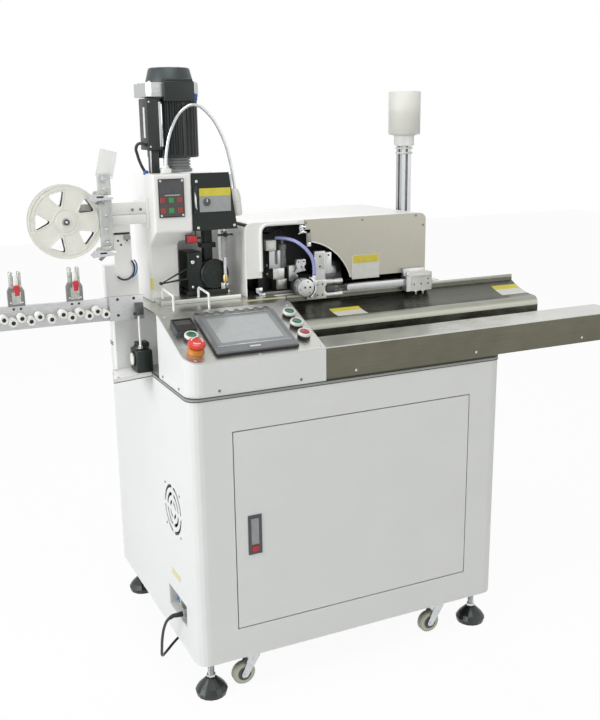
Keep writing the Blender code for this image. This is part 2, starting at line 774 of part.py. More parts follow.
def make_mains_lead():
    """Lead from the gland to the floor, under the cabinet, to a coil behind it."""
    floor = -GROUND_GAP + CORD_RADIUS
    ring = COIL_MIDDLE_RADIUS
    route = [
        (GLAND_TIP - SEAT, GLAND_Y, GLAND_Z), (-0.028, GLAND_Y + 0.001, GLAND_Z - 0.001),
        (-0.042, 0.114, 0.074), (-0.047, 0.131, 0.036), (-0.046, 0.153, -0.014),
        (-0.040, 0.181, -0.056), (-0.028, 0.214, -0.082), (0.000, 0.256, floor + 0.001),
        (0.052, 0.310, floor), (0.122, 0.372, floor), (0.200, 0.440, floor),
        (0.270, 0.515, floor), (0.318, CABINET_DEPTH - 0.061, floor),
        (0.352, CABINET_DEPTH + 0.009, floor), (0.395, CABINET_DEPTH + 0.051, floor), (COIL_X - 0.020, COIL_Y - ring - 3 * CORD_RADIUS - SEAT, floor),
        (COIL_X + 0.020, COIL_Y - ring - 3 * CORD_RADIUS - SEAT, floor),
    ]
    tube("mains_cord", smooth_path(route, 0.017), CORD_RADIUS, corner, black_rubber)
    outer = ring + 2 * CORD_RADIUS - SEAT
    inner = ring - CORD_RADIUS
    low = -GROUND_GAP
    high = low + 4 * CORD_RADIUS
    coil = turned("mains_coil", [(inner, high), (outer, high), (outer, low), (inner, low)],
                  (COIL_X, COIL_Y, 0), corner, black_rubber, 24, closed=True)
    middle = COIL_Y + ring
    weld(coil,
         block("mains_plug", (COIL_X - 0.010, middle + 0.002, low),
               (COIL_X + 0.030, middle + 0.024, low + 0.022), corner))


def make_casters():
    """Four swivel casters: a yoke that turns under its plate, and a wheel in it."""
    axle = -GROUND_GAP + WHEEL_LIFT + WHEEL_RADIUS
    top = -SEAT - FRAME_PLATE - SEAT
    yoke = rod("yoke", 0.020, top - 0.008, top, "Z", (0, 0), corner, zinc, sides=16)
    bridge = block("yoke_bridge", (-0.017, -0.0145, top - 0.0105), (0.015, 0.0145, top - 0.0075),
                   corner)
    weld(yoke, bridge)
    trail = CASTER_TRAIL
    leg = [(0.015, top - 0.008), (0.010, top - 0.020), (0.009 - trail, axle - 0.003),
           (0.006 - trail, axle - 0.008), (-0.006 - trail, axle - 0.008), (-0.009 - trail, axle),
           (-0.017, top - 0.018), (-0.017, top - 0.008)]
    for side in (-1, 1):
        near, far = sorted((side * 0.0120, side * 0.0145))
        weld(yoke, plate("yoke_leg", [leg], near, far, "XZ", corner))
    weld(yoke, rod("axle", 0.003, -0.0165, 0.0165, "Y", (-trail, axle), corner, sides=8))
    yoke = as_mesh(yoke)
    half = WHEEL_WIDTH / 2
    wheel = turned(
        "wheel",
        [(0.003 + SLIDE, half), (WHEEL_RADIUS - 0.003, half), (WHEEL_RADIUS, half - 0.004),
         (WHEEL_RADIUS, -half + 0.004), (WHEEL_RADIUS - 0.003, -half), (0.003 + SLIDE, -half)],
        (0, 0, 0), corner, white_plastic, 20, closed=True, axis="Y")
    names = ("front_left", "front_right", "rear_left", "rear_right")
    for name, (x, y) in zip(names, caster_places()):
        fork = add("caster_fork_" + name, yoke.data, corner, None, (x, y, 0))
        rolling = add("caster_wheel_" + name, wheel.data, corner, None, (x - trail, y, axle))
        shift = yoke.location
        fork.location = (x + shift.x, y + shift.y, shift.z)
        rolling.rotation_euler = TURNS["Y"].to_euler()
    bpy.data.objects.remove(yoke, do_unlink=True)
    bpy.data.objects.remove(wheel, do_unlink=True)


def make_foot_frame():
    """Flat steel frame under the cabinet with its four levelling feet."""
    low = -GROUND_GAP
    margin = 0.006
    outer = rounded(rectangle(margin, margin, CABINET_WIDTH - margin, CABINET_DEPTH - margin),
                    [CABINET_CORNER - margin, CABINET_CORNER - margin, 0.004, 0.004], 4)
    inner = rectangle(0.200, 0.140, CABINET_WIDTH - 0.200, CABINET_DEPTH - 0.140)
    frame = plate("foot_frame", [outer, inner], -SEAT - FRAME_PLATE, -SEAT, "XY", corner,
                  black_rubber)
    profile = [(0, -0.002), (0.011, -0.002), (0.011, -0.012), (THREAD, -0.012),
               (THREAD, low + FOOT_HEIGHT), (0.013, low + FOOT_HEIGHT - 0.002),
               (FOOT_RADIUS - 0.007, low + 0.023), (FOOT_RADIUS, low + 0.012),
               (FOOT_RADIUS - 0.003, low), (0, low)]
    for x in (FOOT_INSET, CABINET_WIDTH - FOOT_INSET):
        for y in (FOOT_INSET, CABINET_DEPTH - FOOT_INSET):
            weld(frame, turned("foot", profile, (x, y, 0), corner, None, 16))
    shade(frame)


def worktop_profile(drop):
    """Side view of the console slope and worktop, lowered square to the sheet."""
    fold = drop * math.tan(SLOPE / 2)
    return [(0.0, CONSOLE_FRONT - drop / math.cos(SLOPE)), (FOLD_Y + fold, TABLE_RISE - drop),
            (WORKTOP_BACK, TABLE_RISE - drop)]


def front_left_corner():
    """What is cut off to round the console's upright corner."""
    r = CONSOLE_CORNER
    outline = [(-0.01, -0.01), (r, -0.01), (r, 0.0)] + arc((r, r), r, 270, 180, 6)[1:] + [(-0.01, r)]
    return plate("corner_cutter", [outline], -0.01, TABLE_RISE + 0.01, "XY", deck, guide=True)


def make_upper_body():
    """Painted body over the deck: console wedge, table box and trough bed."""
    profile = [(0.0, SEAT)] + worktop_profile(TOP_SHEET + SEAT) + [(WORKTOP_BACK, SEAT)]
    body = plate("upper_body", [profile[::-1]], 0, CABINET_WIDTH - 0.018, "YZ", deck, white_paint)
    right = CABINET_WIDTH + 0.02
    carve(
        body,
        front_left_corner(),
        block("carrier_pocket", (CARRIER_LOW[0] - 0.001, CARRIER_LOW[1] - 0.001, CARRIER_DEPTH - 0.001),
              (CARRIER_HIGH[0] + 0.001, CARRIER_HIGH[1] + 0.001, 0.01), console, guide=True),
        block("bay_cutter", (-0.01, BAY_FRONT, -0.01), (BAY_RIGHT, PANEL_BACK + 0.001, 0.2),
              deck, guide=True),
        block("rail_cutter", (CONSOLE_WIDTH, -0.01, -0.01), (right, RAIL_DEPTH + 0.002, 0.2),
              deck, guide=True),
        block("trough_cutter", (CONSOLE_WIDTH, -0.01, TROUGH_BED), (right, TROUGH_BACK + 0.003, 0.2),
              deck, guide=True))


def make_worktop():
    """One bent stainless sheet: console slope and flat table."""
    upper = worktop_profile(0)
    lower = worktop_profile(TOP_SHEET)
    sheet = plate("worktop", [(lower + upper[::-1])], 0, CABINET_WIDTH, "YZ", deck, stainless)
    carve(
        sheet,
        front_left_corner(),
        block("notch_cutter", (CONSOLE_WIDTH, -0.01, -0.01),
              (CABINET_WIDTH + 0.02, TROUGH_BACK + 0.0006, 0.3), deck, guide=True))
    for x, s in list(BUTTON_PLACES.values()) + [ESTOP_PLACE]:
        carve(sheet, rod("shank_hole", SHANK + SEAT, -0.008, 0.005, "Z", (x, s), console, sides=16,
                         guide=True))


def make_screen():
    low = (*SCREEN_LOW, SEAT)
    high = (*SCREEN_HIGH, SCREEN_THICK)
    screen = block("touch_screen", low, high, console, black_plastic, 0.003)
    carve(screen, block("screen_window", (low[0] + 0.010, low[1] + 0.024, SCREEN_THICK - 0.0012),
                        (high[0] - 0.010, high[1] - 0.012, SCREEN_THICK + 0.01), console,
                        guide=True))


def make_meter():
    meter = block("counter_meter", (*METER_LOW, SEAT), (*METER_HIGH, METER_THICK), console,
                  black_plastic, 0.002)
    carve(meter, block("meter_window", (METER_LOW[0] + 0.006, METER_LOW[1] + 0.014, METER_THICK - 0.001),
                       (METER_HIGH[0] - 0.006, METER_HIGH[1] - 0.008, METER_THICK + 0.01), console,
                       guide=True))


def make_buttons():
    """Push buttons in their rings, and the mushroom stop on its collar.

    The rings' shanks pass through the worktop to one contact carrier below it."""
    carrier = block("button_rings", (*CARRIER_LOW, CARRIER_DEPTH), (*CARRIER_HIGH, CARRIER_DEPTH + 0.003),
                    console, black_plastic)
    bases = []
    cup = [(0, 0.002), (BUTTON_CAP + SLIDE, 0.002), (BUTTON_CAP + SLIDE, BUTTON_BASE),
           (BUTTON_RING - 0.001, BUTTON_BASE), (BUTTON_RING, BUTTON_BASE - 0.001),
           (BUTTON_RING, 0), (SHANK, 0), (SHANK, CARRIER_DEPTH + 0.001), (0, CARRIER_DEPTH + 0.001)]
    cap_low = 0.002 + SLIDE + BUTTON_TRAVEL
    cap_high = BUTTON_BASE + 0.0025
    for name, (x, s) in BUTTON_PLACES.items():
        colour = red_plastic if name == "stop_button" else green_plastic
        bases.append(turned("ring", cup, (x, s, SEAT), console, None, 16))
        shade(turned(name, [(0, cap_high), (BUTTON_CAP - 0.001, cap_high),
                            (BUTTON_CAP, cap_high - 0.001), (BUTTON_CAP, cap_low), (0, cap_low)],
                     (x, s, SEAT), console, colour, 16))
    x, s = ESTOP_PLACE
    stem = 0.010
    collar = [(0, 0.002), (stem + SLIDE, 0.002), (stem + SLIDE, 0.014), (0.0170, 0.014),
              (0.0205, 0.009), (0.0205, 0), (SHANK, 0), (SHANK, CARRIER_DEPTH + 0.001),
              (0, CARRIER_DEPTH + 0.001)]
    bases.append(turned("collar", collar, (x, s, SEAT), console, None, 20))
    weld(carrier, *bases)
    shade(carrier)
    head_low = 0.014 + SLIDE + ESTOP_TRAVEL
    mushroom = [(0, head_low + 0.014), (0.010, head_low + 0.0135), (0.0165, head_low + 0.011),
                (ESTOP_HEAD, head_low + 0.006), (ESTOP_HEAD, head_low + 0.002),
                (ESTOP_HEAD - 0.003, head_low), (stem, head_low), (stem, 0.002 + SLIDE + ESTOP_TRAVEL),
                (0, 0.002 + SLIDE + ESTOP_TRAVEL)]
    shade(turned("emergency_stop", mushroom, (x, s, SEAT), console, red_plastic, 24))


def make_front_rail():
    """Long stainless channel along the front."""
    t = RAIL_SHEET
    top = CONSOLE_FRONT
    foot = RAIL_FOOT
    outline = [(0, foot), (0.030, foot), (0.030, foot + t), (t, foot + t), (t, top - t),
               (RAIL_DEPTH - t, top - t), (RAIL_DEPTH - t, top - 0.014), (RAIL_DEPTH, top - 0.014),
               (RAIL_DEPTH, top), (0, top)]
    rail = plate("front_rail", [outline], CONSOLE_WIDTH + SEAT, RIGHT_END, "YZ", deck, stainless)
    weld(rail, block("rail_spacer", (CONSOLE_WIDTH + 0.004, 0.004, SEAT),
                     (CABINET_WIDTH - 0.012, 0.027, foot + 0.001), deck))


def make_trough():
    """Curved stainless tray that the finished wires drop into."""
    start = Vector((LIP_Y, -LIP_DROP))
    end = Vector((TROUGH_BACK - 0.0024, -TOP_SHEET - 0.001))
    chord = end - start
    rise = math.sqrt(TROUGH_RADIUS ** 2 - (chord.length / 2) ** 2)
    centre = (start + end) / 2 + Vector((-chord.y, chord.x)).normalized() * rise
    first = math.degrees(math.atan2(start.y - centre.y, start.x - centre.x))
    last = math.degrees(math.atan2(end.y - centre.y, end.x - centre.x))
    if first > 0:
        first -= 360
    points = [(APRON_Y, TROUGH_BED - TABLE_RISE + SEAT), (APRON_Y, -APRON_DROP)]
    points += arc(tuple(centre), TROUGH_RADIUS, first, last, 14)
    shape = bmesh.new()
    rows = []
    for x in (TROUGH_LEFT, TROUGH_RIGHT):
        rows.append([shape.verts.new((x, y, z)) for y, z in points])
    for i in range(len(points) - 1):
        shape.faces.new((rows[0][i], rows[1][i], rows[1][i + 1], rows[0][i + 1]))
    trough = add("trough", finish_mesh("trough", shape), table, stainless)
    thicken = trough.modifiers.new("sheet", "SOLIDIFY")
    thicken.thickness = TROUGH_SHEET
    thicken.offset = -1.0
    thicken.use_even_offset = True
    shade(trough)


def make_press():
    """Cast press frame: column, head and the bolster that the applicator stands on."""
    outline = [(COLUMN_FRONT, SEAT), (PRESS_BACK, SEAT), (PRESS_BACK, HEAD_TOP),
               (HEAD_FRONT, HEAD_TOP), (HEAD_FRONT, HEAD_BOTTOM), (COLUMN_FRONT, 0.139)]
    frame = plate("press_frame", [outline], PRESS_LEFT, PRESS_SPLIT, "YZ", table, white_paint)
    round_edges(frame, 0.004)
    weld(
        frame,
        block("ram_head", (PRESS_SPLIT - 0.010, HEAD_FRONT + HEAD_STEP, HEAD_BOTTOM + 0.005),
              (PRESS_RIGHT, PRESS_BACK - 0.006, HEAD_TOP - 0.005), table),
        block("back_column", (PRESS_SPLIT - 0.010, THROAT_BACK, BOLSTER - 0.001),
              (PRESS_RIGHT - 0.001, PRESS_BACK - 0.007, HEAD_BOTTOM + 0.010), table),
        block("bolster", (PRESS_LEFT + 0.005, 0.290, SEAT), (0.245, PRESS_BACK - 0.008, BOLSTER), table))
    carve(frame, block("throat_cutter", (THROAT_LEFT, 0.330, BOLSTER - 0.001),
                       (PRESS_SPLIT + 0.001, THROAT_BACK - 0.001, HEAD_BOTTOM + 0.0035), table,
                       guide=True))
    side = RAM_SIDE / 2 + SLIDE
    carve(frame, block("ram_bore", (RAM_X - side, RAM_Y - side, 0.150),
                       (RAM_X + side, RAM_Y + side, RAM_TOP + 0.010), table, guide=True))


def make_press_cover():
    """Black cover in front of the ram, with its slanted right edge."""
    face = HEAD_FRONT + HEAD_STEP - SEAT
    outline = [(PRESS_SPLIT + 0.001, HEAD_BOTTOM), (0.242, HEAD_BOTTOM), (0.223, HEAD_TOP),
               (PRESS_SPLIT + 0.001, HEAD_TOP)]
    cover = plate("press_cover", [outline], face - 0.004, face, "XZ", table, black_plastic)
    weld(
        cover,
        rod("switch_stem", 0.0018, 0.160, HEAD_BOTTOM + 0.004, "Z", (0.1335, face - 0.002), table,
            sides=10),
        block("switch", (0.110, face - 0.0025, 0.145), (0.138, face + 0.0075, 0.1640), table))


def make_keypad():
    """Press controls: display window and six keys on a thin panel."""
    left, right, bottom, top = 0.045, 0.1085, 0.209, 0.2995
    face = HEAD_FRONT - SEAT
    panel = block("keypad_panel", (left, face - 0.0022, bottom), (right, face, top), table,
                  black_plastic, 0.0006)
    carve(panel, block("display_window", (left + 0.009, face - 0.01, top - 0.037),
                       (right - 0.009, face - 0.0014, top - 0.010), table, guide=True))
    for row in range(2):
        for column in range(3):
            x = left + 0.006 + column * 0.0205
            z = bottom + 0.009 + row * 0.0205
            weld(panel, block("key", (x, face - 0.0030, z), (x + 0.0105, face - 0.0010, z + 0.0105),
                              table))


def make_applicator():
    """Crimp tool on the bolster: base, guide for its ram, feed disc and lever."""
    low = BOLSTER + SEAT
    body = block("applicator_body", (0.117, 0.318, low), (0.224, 0.396, 0.024), table, black_oxide)
    side = RAM_SIDE / 2 + SLIDE
    triangle = [(0.048, 0.046), (0.125, 0.054), (0.125, 0.081)]
    weld(
        body,
        block("tool_side", (0.121, 0.322, 0.023), (0.157, 0.388, 0.119), table),
        block("ram_guide", (0.156, 0.330, 0.022), (0.216, 0.374, 0.092), table),
        rod("feed_disc", 0.037, 0.316, 0.331, "Y", (0.189, 0.062), table, sides=28),
        plate("feed_lever", [triangle, inset(triangle, 0.0040)], 0.324, 0.330, "XZ", table),
        rod("lever_stop", 0.004, 0.314, 0.326, "Y", (0.131, 0.096), table, sides=12))
    carve(body, block("ram_slot", (RAM_X - side, RAM_Y - side, 0.030),
                      (RAM_X + side, RAM_Y + side, 0.130), table, guide=True))


def make_ram():
    """Ram that runs down through the head into the applicator."""
    side = RAM_SIDE / 2
    ram = block("press_ram", (RAM_X - side, RAM_Y - side, RAM_BOTTOM),
                (RAM_X + side, RAM_Y + side, RAM_TOP), table, black_oxide)
    weld(ram, block("ram_collar", (RAM_X - 0.018, RAM_Y - 0.016, 0.126),
                    (RAM_X + 0.018, RAM_Y + 0.016, 0.138), table))


def make_oil_dropper():
    """Oil dropper that hangs from the head beside the ram."""
    top = HEAD_BOTTOM + 0.005 - SEAT
    dropper = turned(
        "oil_dropper",
        [(0, top), (0.004, top), (0.004, 0.168), (0.008, 0.168), (0.008, 0.105), (0.0045, 0.105),
         (0.0045, 0.060), (0.0065, 0.060), (0.0065, 0.043), (0.003, 0.037), (0, 0.037)],
        (0.211, 0.306, 0), table, zinc, 16)
    weld(
        dropper,
        rod("t_handle", 0.0022, 0.194, 0.228, "X", (0.296, 0.160), table, sides=10),
        rod("valve", 0.005, 0.290, 0.306, "Y", (0.211, 0.160), table, sides=12))
    shade(dropper)


def fin_outline(centre, inner, outer, count):
    """Outline of a finned motor body."""
    points = []
    for i in range(count):
        for share, radius in ((0.0, inner), (0.25, outer), (0.6, outer), (0.85, inner)):
            angle = math.tau * (i + share) / count
            points.append((centre[0] + radius * math.cos(angle),
                           centre[1] + radius * math.sin(angle)))
    return points


def make_motor():
    """Press motor: finned body, square end shield, cowl, terminal box and gear neck."""
    x, y = MOTOR_X, MOTOR_Y
    half = SHIELD_HALF
    motor = plate("press_motor", [fin_outline((x, y), MOTOR_RADIUS - 0.006, MOTOR_RADIUS, 18)],
                  MOTOR_BOTTOM, MOTOR_TOP + 0.004, "XY", table, black_plastic)
    weld(
        motor,
        block("end_shield", (x - half - 0.012, y - half + 0.004, MOTOR_TOP),
              (x + half - 0.012, y + half - 0.006, SHIELD_TOP), table),
        rod("cowl", 0.057, SHIELD_TOP - 0.001, COWL_TOP, "Z", (x - 0.002, y), table, sides=24,
            end_radius=0.048),
        block("terminal_box", (0.079, 0.320, MOTOR_TOP - 0.014), (0.154, 0.345, SHIELD_TOP + 0.003),
              table),
        block("brake_box", (0.040, 0.334, 0.364), (0.076, 0.398, MOTOR_TOP + 0.001), table),
        rod("gear_neck", 0.031, HEAD_TOP + SEAT, MOTOR_BOTTOM + 0.001, "Z", (0.126, 0.388), table,
            sides=24),
        rod("gear_flange", 0.043, HEAD_TOP + SEAT, HEAD_TOP + 0.009, "Z", (0.121, 0.392), table,
            sides=24),
        block("cable_post", (0.046, 0.342, HEAD_TOP + SEAT), (0.068, 0.362, 0.366), table))


LAMP_PATH = [
    (0.0725, 0.312), (0.0730, 0.330), (0.0745, 0.352), (0.0816, 0.388), (0.0933, 0.419),
    (0.1106, 0.447), (0.1358, 0.465), (0.1560, 0.465), (0.1726, 0.456), (0.1967, 0.430),
    (0.2158, 0.395), (0.2276, 0.363), (0.2366, 0.324), (0.2431, 0.283), (0.2450, 0.262),
]
LAMP_Y = 0.310


def make_lamp():
    """Work lamp on a bent gooseneck."""
    neck = tube("work_lamp", [(x, LAMP_Y, z) for x, z in LAMP_PATH], 0.004, table,
                white_paint, 2)
    neck = as_mesh(neck)
    foot = rod("lamp_foot", 0.012, HEAD_TOP + SEAT, HEAD_TOP + 0.014, "Z",
               (LAMP_PATH[0][0], LAMP_Y), table, sides=16, end_radius=0.007)
    head = turned("lamp_head", [(0, 0.008), (0.006, 0.007), (0.010, 0.0), (0.0125, -0.018),
                                (0.0125, -0.050), (0.010, -0.058), (0, -0.058)],
                  (0.2448, LAMP_Y, 0.262), table, None, 16)
    head.rotation_euler = (0, math.radians(-5), 0)
    weld(neck, foot, head)
    shade(neck)


def make_reel_arm():
    """Bracket from the press head that carries the terminal reel."""
    arm = block("reel_arm", (REEL_X - 0.022, ARM_FRONT, 0.194), (PRESS_LEFT - SEAT, ARM_BACK, 0.239),
                table, white_paint)
    weld(
        arm,
        rod("spindle", SPINDLE, REEL_FRONT - 0.006, ARM_FRONT + 0.001, "Y", (REEL_X, REEL_Z), table,
            sides=20),
        rod("spindle_collar", 0.013, REEL_BACK + SEAT, ARM_FRONT + 0.001, "Y", (REEL_X, REEL_Z),
            table, sides=20),
        block("tape_plate", (-0.057, PANEL_FRONT - SEAT - 0.0034, 0.076),
              (-0.016, PANEL_FRONT - SEAT, 0.210), table),
        block("tape_plate_top", (-0.057, PANEL_FRONT - SEAT - 0.0034, 0.200),
              (-0.016, ARM_FRONT + 0.001, 0.236), table),
        block("arm_flange", (PRESS_LEFT - SEAT - 0.006, COLUMN_FRONT - 0.012, 0.182),
              (PRESS_LEFT - SEAT, ARM_BACK + 0.014, 0.250), table))


def make_reel():
    """Terminal reel: two flanges with five windows each on a hub."""
    rim = arc((0, 0), REEL_RADIUS, 0, 350, 35)
    bore = arc((0, 0), REEL_BORE, 0, 360 - 22.5, 15)
    windows = []
    for i in range(5):
        turn = math.radians(30 + 72 * i)
        corners = [(0.036, 0.0), (0.066, -0.021), (0.066, 0.021)]
        points = rounded(corners, [0.004, 0.005, 0.005], 2)
        windows.append([(u * math.cos(turn) - v * math.sin(turn),
                         u * math.sin(turn) + v * math.cos(turn)) for u, v in points])
    flange = 0.0016
    width = REEL_BACK - REEL_FRONT
    front = plate("tape_reel", [rim, bore] + windows, 0, flange, "XZ", table, clear_plastic)
    back = plate("back_flange", [rim, bore] + windows, width - flange, width, "XZ", table)
    hub_rim = arc((0, 0), 0.026, 0, 360 - 15, 23)
    hub = plate("reel_hub", [hub_rim, bore], flange / 2, width - flange / 2, "XZ", table)
    for piece in (front, back, hub):
        piece.location += Vector((REEL_X, REEL_FRONT, REEL_Z))
    weld(front, back, hub)


def make_tape_guide():
    """Clear strip and chrome brackets that lead the terminal tape down."""
    guide = block("tape_guide", (-0.094, 0.297, 0.140), (-0.064, 0.309, 0.315), table, clear_plastic)
    flap = block("tape_flap", (-0.020, -0.001, -0.030), (0.020, 0.001, 0.030), table)
    flap.location = (-0.070, 0.303, 0.338)
    flap.rotation_euler = (0, math.radians(14), 0)
    weld(
        guide,
        flap,
        block("guide_block", (-0.080, 0.308, 0.200), (-0.066, ARM_FRONT - SEAT, 0.235), table),
        block("lower_bracket", (-0.120, 0.290, 0.134), (-0.062, 0.311, 0.142), table),
        block("upper_bracket", (-0.112, 0.292, 0.255), (-0.070, 0.311, 0.262), table))


def make_feed_panel():
    """Folded panel behind the feed motor, up to the reel arm."""
    top = TABLE_RISE + 0.100
    under = TABLE_RISE - TOP_SHEET - SEAT
    outline = [(-0.066, SEAT), (BAY_RIGHT - 0.002, SEAT), (BAY_RIGHT - 0.002, under),
               (-0.0015, under), (-0.0015, top), (-0.081, top), (-0.081, under + 0.004),
               (-0.066, under + 0.004)]
    panel = plate("feed_panel", [outline], PANEL_FRONT, PANEL_BACK, "XZ", deck, white_paint)
    carve(panel, plate("panel_inside", [inset(outline, SHEET)], PANEL_FRONT + SHEET,
                       PANEL_BACK + 0.01, "XZ", deck, guide=True))


def make_feed_motor():
    """Servo motor in the open bay that drives the wire feed."""
    body = block("feed_motor", (-0.035, 0.266, SEAT), (0.005, 0.324, 0.064), deck, black_plastic, 0.004)
    weld(
        body,
        rod("motor_flange", 0.019, -0.039, -0.033, "X", (0.294, 0.036), deck, sides=20),
        block("connector", (-0.028, 0.280, 0.060), (0.002, 0.310, 0.074), deck),
        rod("cable_sleeve", 0.0035, 0.060, 0.140, "Z", (-0.022, 0.276), deck, sides=10))


def roller_places():
    """Straightener rollers: two banks of six with one between them."""
    places = [FIRST_BANK + ROLLER_PITCH * i for i in range(6)]
    places.append(MIDDLE_ROLLER)
    places += [SECOND_BANK + ROLLER_PITCH * i for i in range(6)]
    return [(x, -0.0033 + (ROLLER_STAGGER if i % 2 else 0.0)) for i, x in enumerate(places)]


def make_straightener():
    """Bar with thirteen rollers and the two clamp bodies, bolted to the feed panel."""
    bar = block("wire_straightener", (LEFT_END, BAR_FRONT, BAR_BOTTOM), (BAR_END, BAR_BACK, BAR_TOP),
                table, aluminium)
    weld(
        bar,
        block("end_plate", (BAR_END - 0.016, BAR_FRONT - 0.006, BAR_BOTTOM - 0.001),
              (-0.004, BAR_FRONT + 0.0005, BAR_TOP + 0.002), table),
        block("end_block", (BAR_END - 0.010, BAR_FRONT, BAR_BOTTOM + 0.005),
              (-0.006, PANEL_FRONT - SEAT, BAR_TOP - 0.004), table))
    for x in CLAMP_PLACES.values():
        body = block("clamp_body", (x - 0.016, BAR_FRONT - 0.003, BAR_TOP - 0.001),
                     (x + 0.016, BAR_BACK + 0.003, 0.075), table)
        posts = block("clamp_posts", (x - 0.011, BAR_FRONT - 0.003, 0.070),
                      (x + 0.011, BAR_BACK + 0.001, 0.109), table)
        weld(bar, body, posts)
        carve(bar, block("clamp_slot", (x - 0.0055, BAR_FRONT - 0.01, 0.046),
                         (x + 0.0055, BAR_BACK + 0.01, 0.120), table, guide=True))
        weld(bar, rod("clamp_pin", 0.0025, x - 0.008, x + 0.008, "X",
                      (CLAMP_PIVOT_Y, CLAMP_PIVOT_Z), table, sides=10))
    length = BAR_FRONT - 0.0015 - ROLLER_FRONT
    pin = BAR_FRONT + 0.002 - ROLLER_FRONT
    profile = [(0, pin), (0.003, pin), (0.003, length), (ROLLER_RADIUS - 0.001, length),
               (ROLLER_RADIUS, length - 0.001), (ROLLER_RADIUS, 0.001), (ROLLER_RADIUS - 0.001, 0),
               (0, 0)]
    for x, z in roller_places():
        weld(bar, turned("roller", profile, (x, ROLLER_FRONT, z), table, None, 12, axis="Y"))
    shade(bar)


def make_clamp_levers():
    for name, x in CLAMP_PLACES.items():
        lever = block(name, (x - 0.0048, 0.287, 0.066), (x + 0.0048, 0.3045, 0.097), table,
                      red_plastic)
        move_origin(lever, (x, CLAMP_PIVOT_Y, CLAMP_PIVOT_Z))
        grip = [(x - 0.009, 0.076), (x - 0.005, 0.040), (x + 0.005, 0.040), (x + 0.009, 0.076)]
        weld(lever, plate("grip", [grip], 0.281, 0.2875, "XZ", table))
        carve(lever, rod("pin_hole", 0.0025 + SLIDE, x - 0.02, x + 0.02, "X",
                         (CLAMP_PIVOT_Y, CLAMP_PIVOT_Z), table, sides=10, guide=True))


def make_table_handles():
    """Two rod handles over the worktop in front of the applicator."""
    feet = {
        "table_handle_left": ((0.0465, 0.2185), (0.055, 0.328)),
        "table_handle_right": ((0.130, 0.206), (0.139, 0.304)),
    }
    for name, (front, back) in feet.items():
        a = Vector((*front, SEAT))
        b = Vector((*back, BOLSTER + SEAT))
        level = 0.035
        along = (Vector((b.x, b.y, 0)) - Vector((a.x, a.y, 0))).normalized()
        bend = 0.006
        points = [a, Vector((a.x, a.y, level - bend)),
                  Vector((a.x, a.y, level - bend * 0.3)) + along * bend * 0.3,
                  Vector((a.x, a.y, level)) + along * bend,
                  Vector((b.x, b.y, level)) - along * bend,
                  Vector((b.x, b.y, level - bend * 0.3)) - along * bend * 0.3,
                  Vector((b.x, b.y, level - bend)), b]
        tube(name, points, 0.003, table, stainless)


def make_housing():
    """White cover over the cutting head, open at the front and below."""
    left, right, top = HOUSING_LEFT, HOUSING_RIGHT, HOUSING_TOP
    below = -0.03
    outline = rectangle(left, below, right, top)
    radii = [0, 0, 0.020, 0.020]
    cover = plate("housing_cover", [rounded(outline, radii, 4)], HOUSING_FRONT, HOUSING_BACK,
                  "XZ", table, white_paint)
    round_edges(cover, 0.006, 2, 60)
    wall = HOUSING_WALL
    mouth = [(0.306, -0.01), (right - wall, -0.01), (right - wall, 0.174), (0.306, 0.174)]
    carve(
        cover,
        block("cover_foot", (left - 0.01, HOUSING_FRONT - 0.01, below - 0.01),
              (right + 0.01, HOUSING_BACK + 0.01, SEAT), table, guide=True),
        plate("cover_inside", [rounded(inset(outline, wall), [0, 0, 0.018, 0.018], 4)],
              HOUSING_FRONT + wall, HOUSING_BACK - wall, "XZ", table, guide=True),
        plate("cover_mouth", [rounded(mouth, [0, 0, 0.010, 0.012], 3)], HOUSING_FRONT - 0.01,
              HOUSING_FRONT + wall + 0.001, "XZ", table, guide=True),
        block("cover_step", (left + wall, HOUSING_FRONT - 0.01, -0.01),
              (0.310, HOUSING_FRONT + wall + 0.001, 0.046), table, guide=True))
    shade(cover)


def make_housing_panel():
    """Stainless front panel with the round cut-out that the swing arm needs."""
    low = 0.028
    right, top = HOUSING_RIGHT, HOUSING_TOP
    reach = CUT_RADIUS
    start = math.degrees(math.asin((low - CUT_Z) / reach))
    edge = 0.440
    end = math.degrees(math.acos((edge - CUT_X) / reach))
    sweep = arc((CUT_X, CUT_Z), reach, end, start, 12)
    points = sweep + [(right, low)]
    points += rounded([(right, low), (right, top), (0.5, top)], [0, 0.018, 0], 4)[1:-1]
    points += [(0.425, top), (0.425, 0.160), (edge, 0.160)]
    back = HOUSING_FRONT - SEAT
    plate("housing_panel", [points], back - PANEL_SHEET, back, "XZ", table, stainless)


def make_cutter_frame():
    """Fixed blocks of the cutting head inside the housing."""
    frame = block("cutter_frame", (0.312, 0.302, SEAT), (0.560, 0.406, 0.0075), table, aluminium)
    bore = SWING_SHAFT + SLIDE
    weld(
        frame,
        block("swing_bearing", (0.387, 0.300, SEAT + 0.0005), (0.436, 0.360, 0.050), table),
        block("blade_column", (0.318, 0.312, 0.005), (0.350, 0.372, 0.125), table),
        block("blade_block", (0.324, 0.306, 0.120), (0.350, 0.346, 0.147), table),
        block("feed_block", (0.3535, 0.322, 0.005), (0.383, 0.380, 0.086), table),
        rod("air_cylinder", 0.010, 0.080, 0.140, "Z", (0.3675, 0.352), table, sides=16),
        block("back_plate", (0.312, 0.400, SEAT + 0.001), (0.560, 0.406, 0.168), table),
        block("slide_block", (0.480, 0.330, 0.005), (0.550, 0.402, 0.070), table))
    carve(frame, rod("swing_bore", bore, 0.290, 0.350, "Y", (SWING_X, SWING_Z), table, sides=20,
                     guide=True))


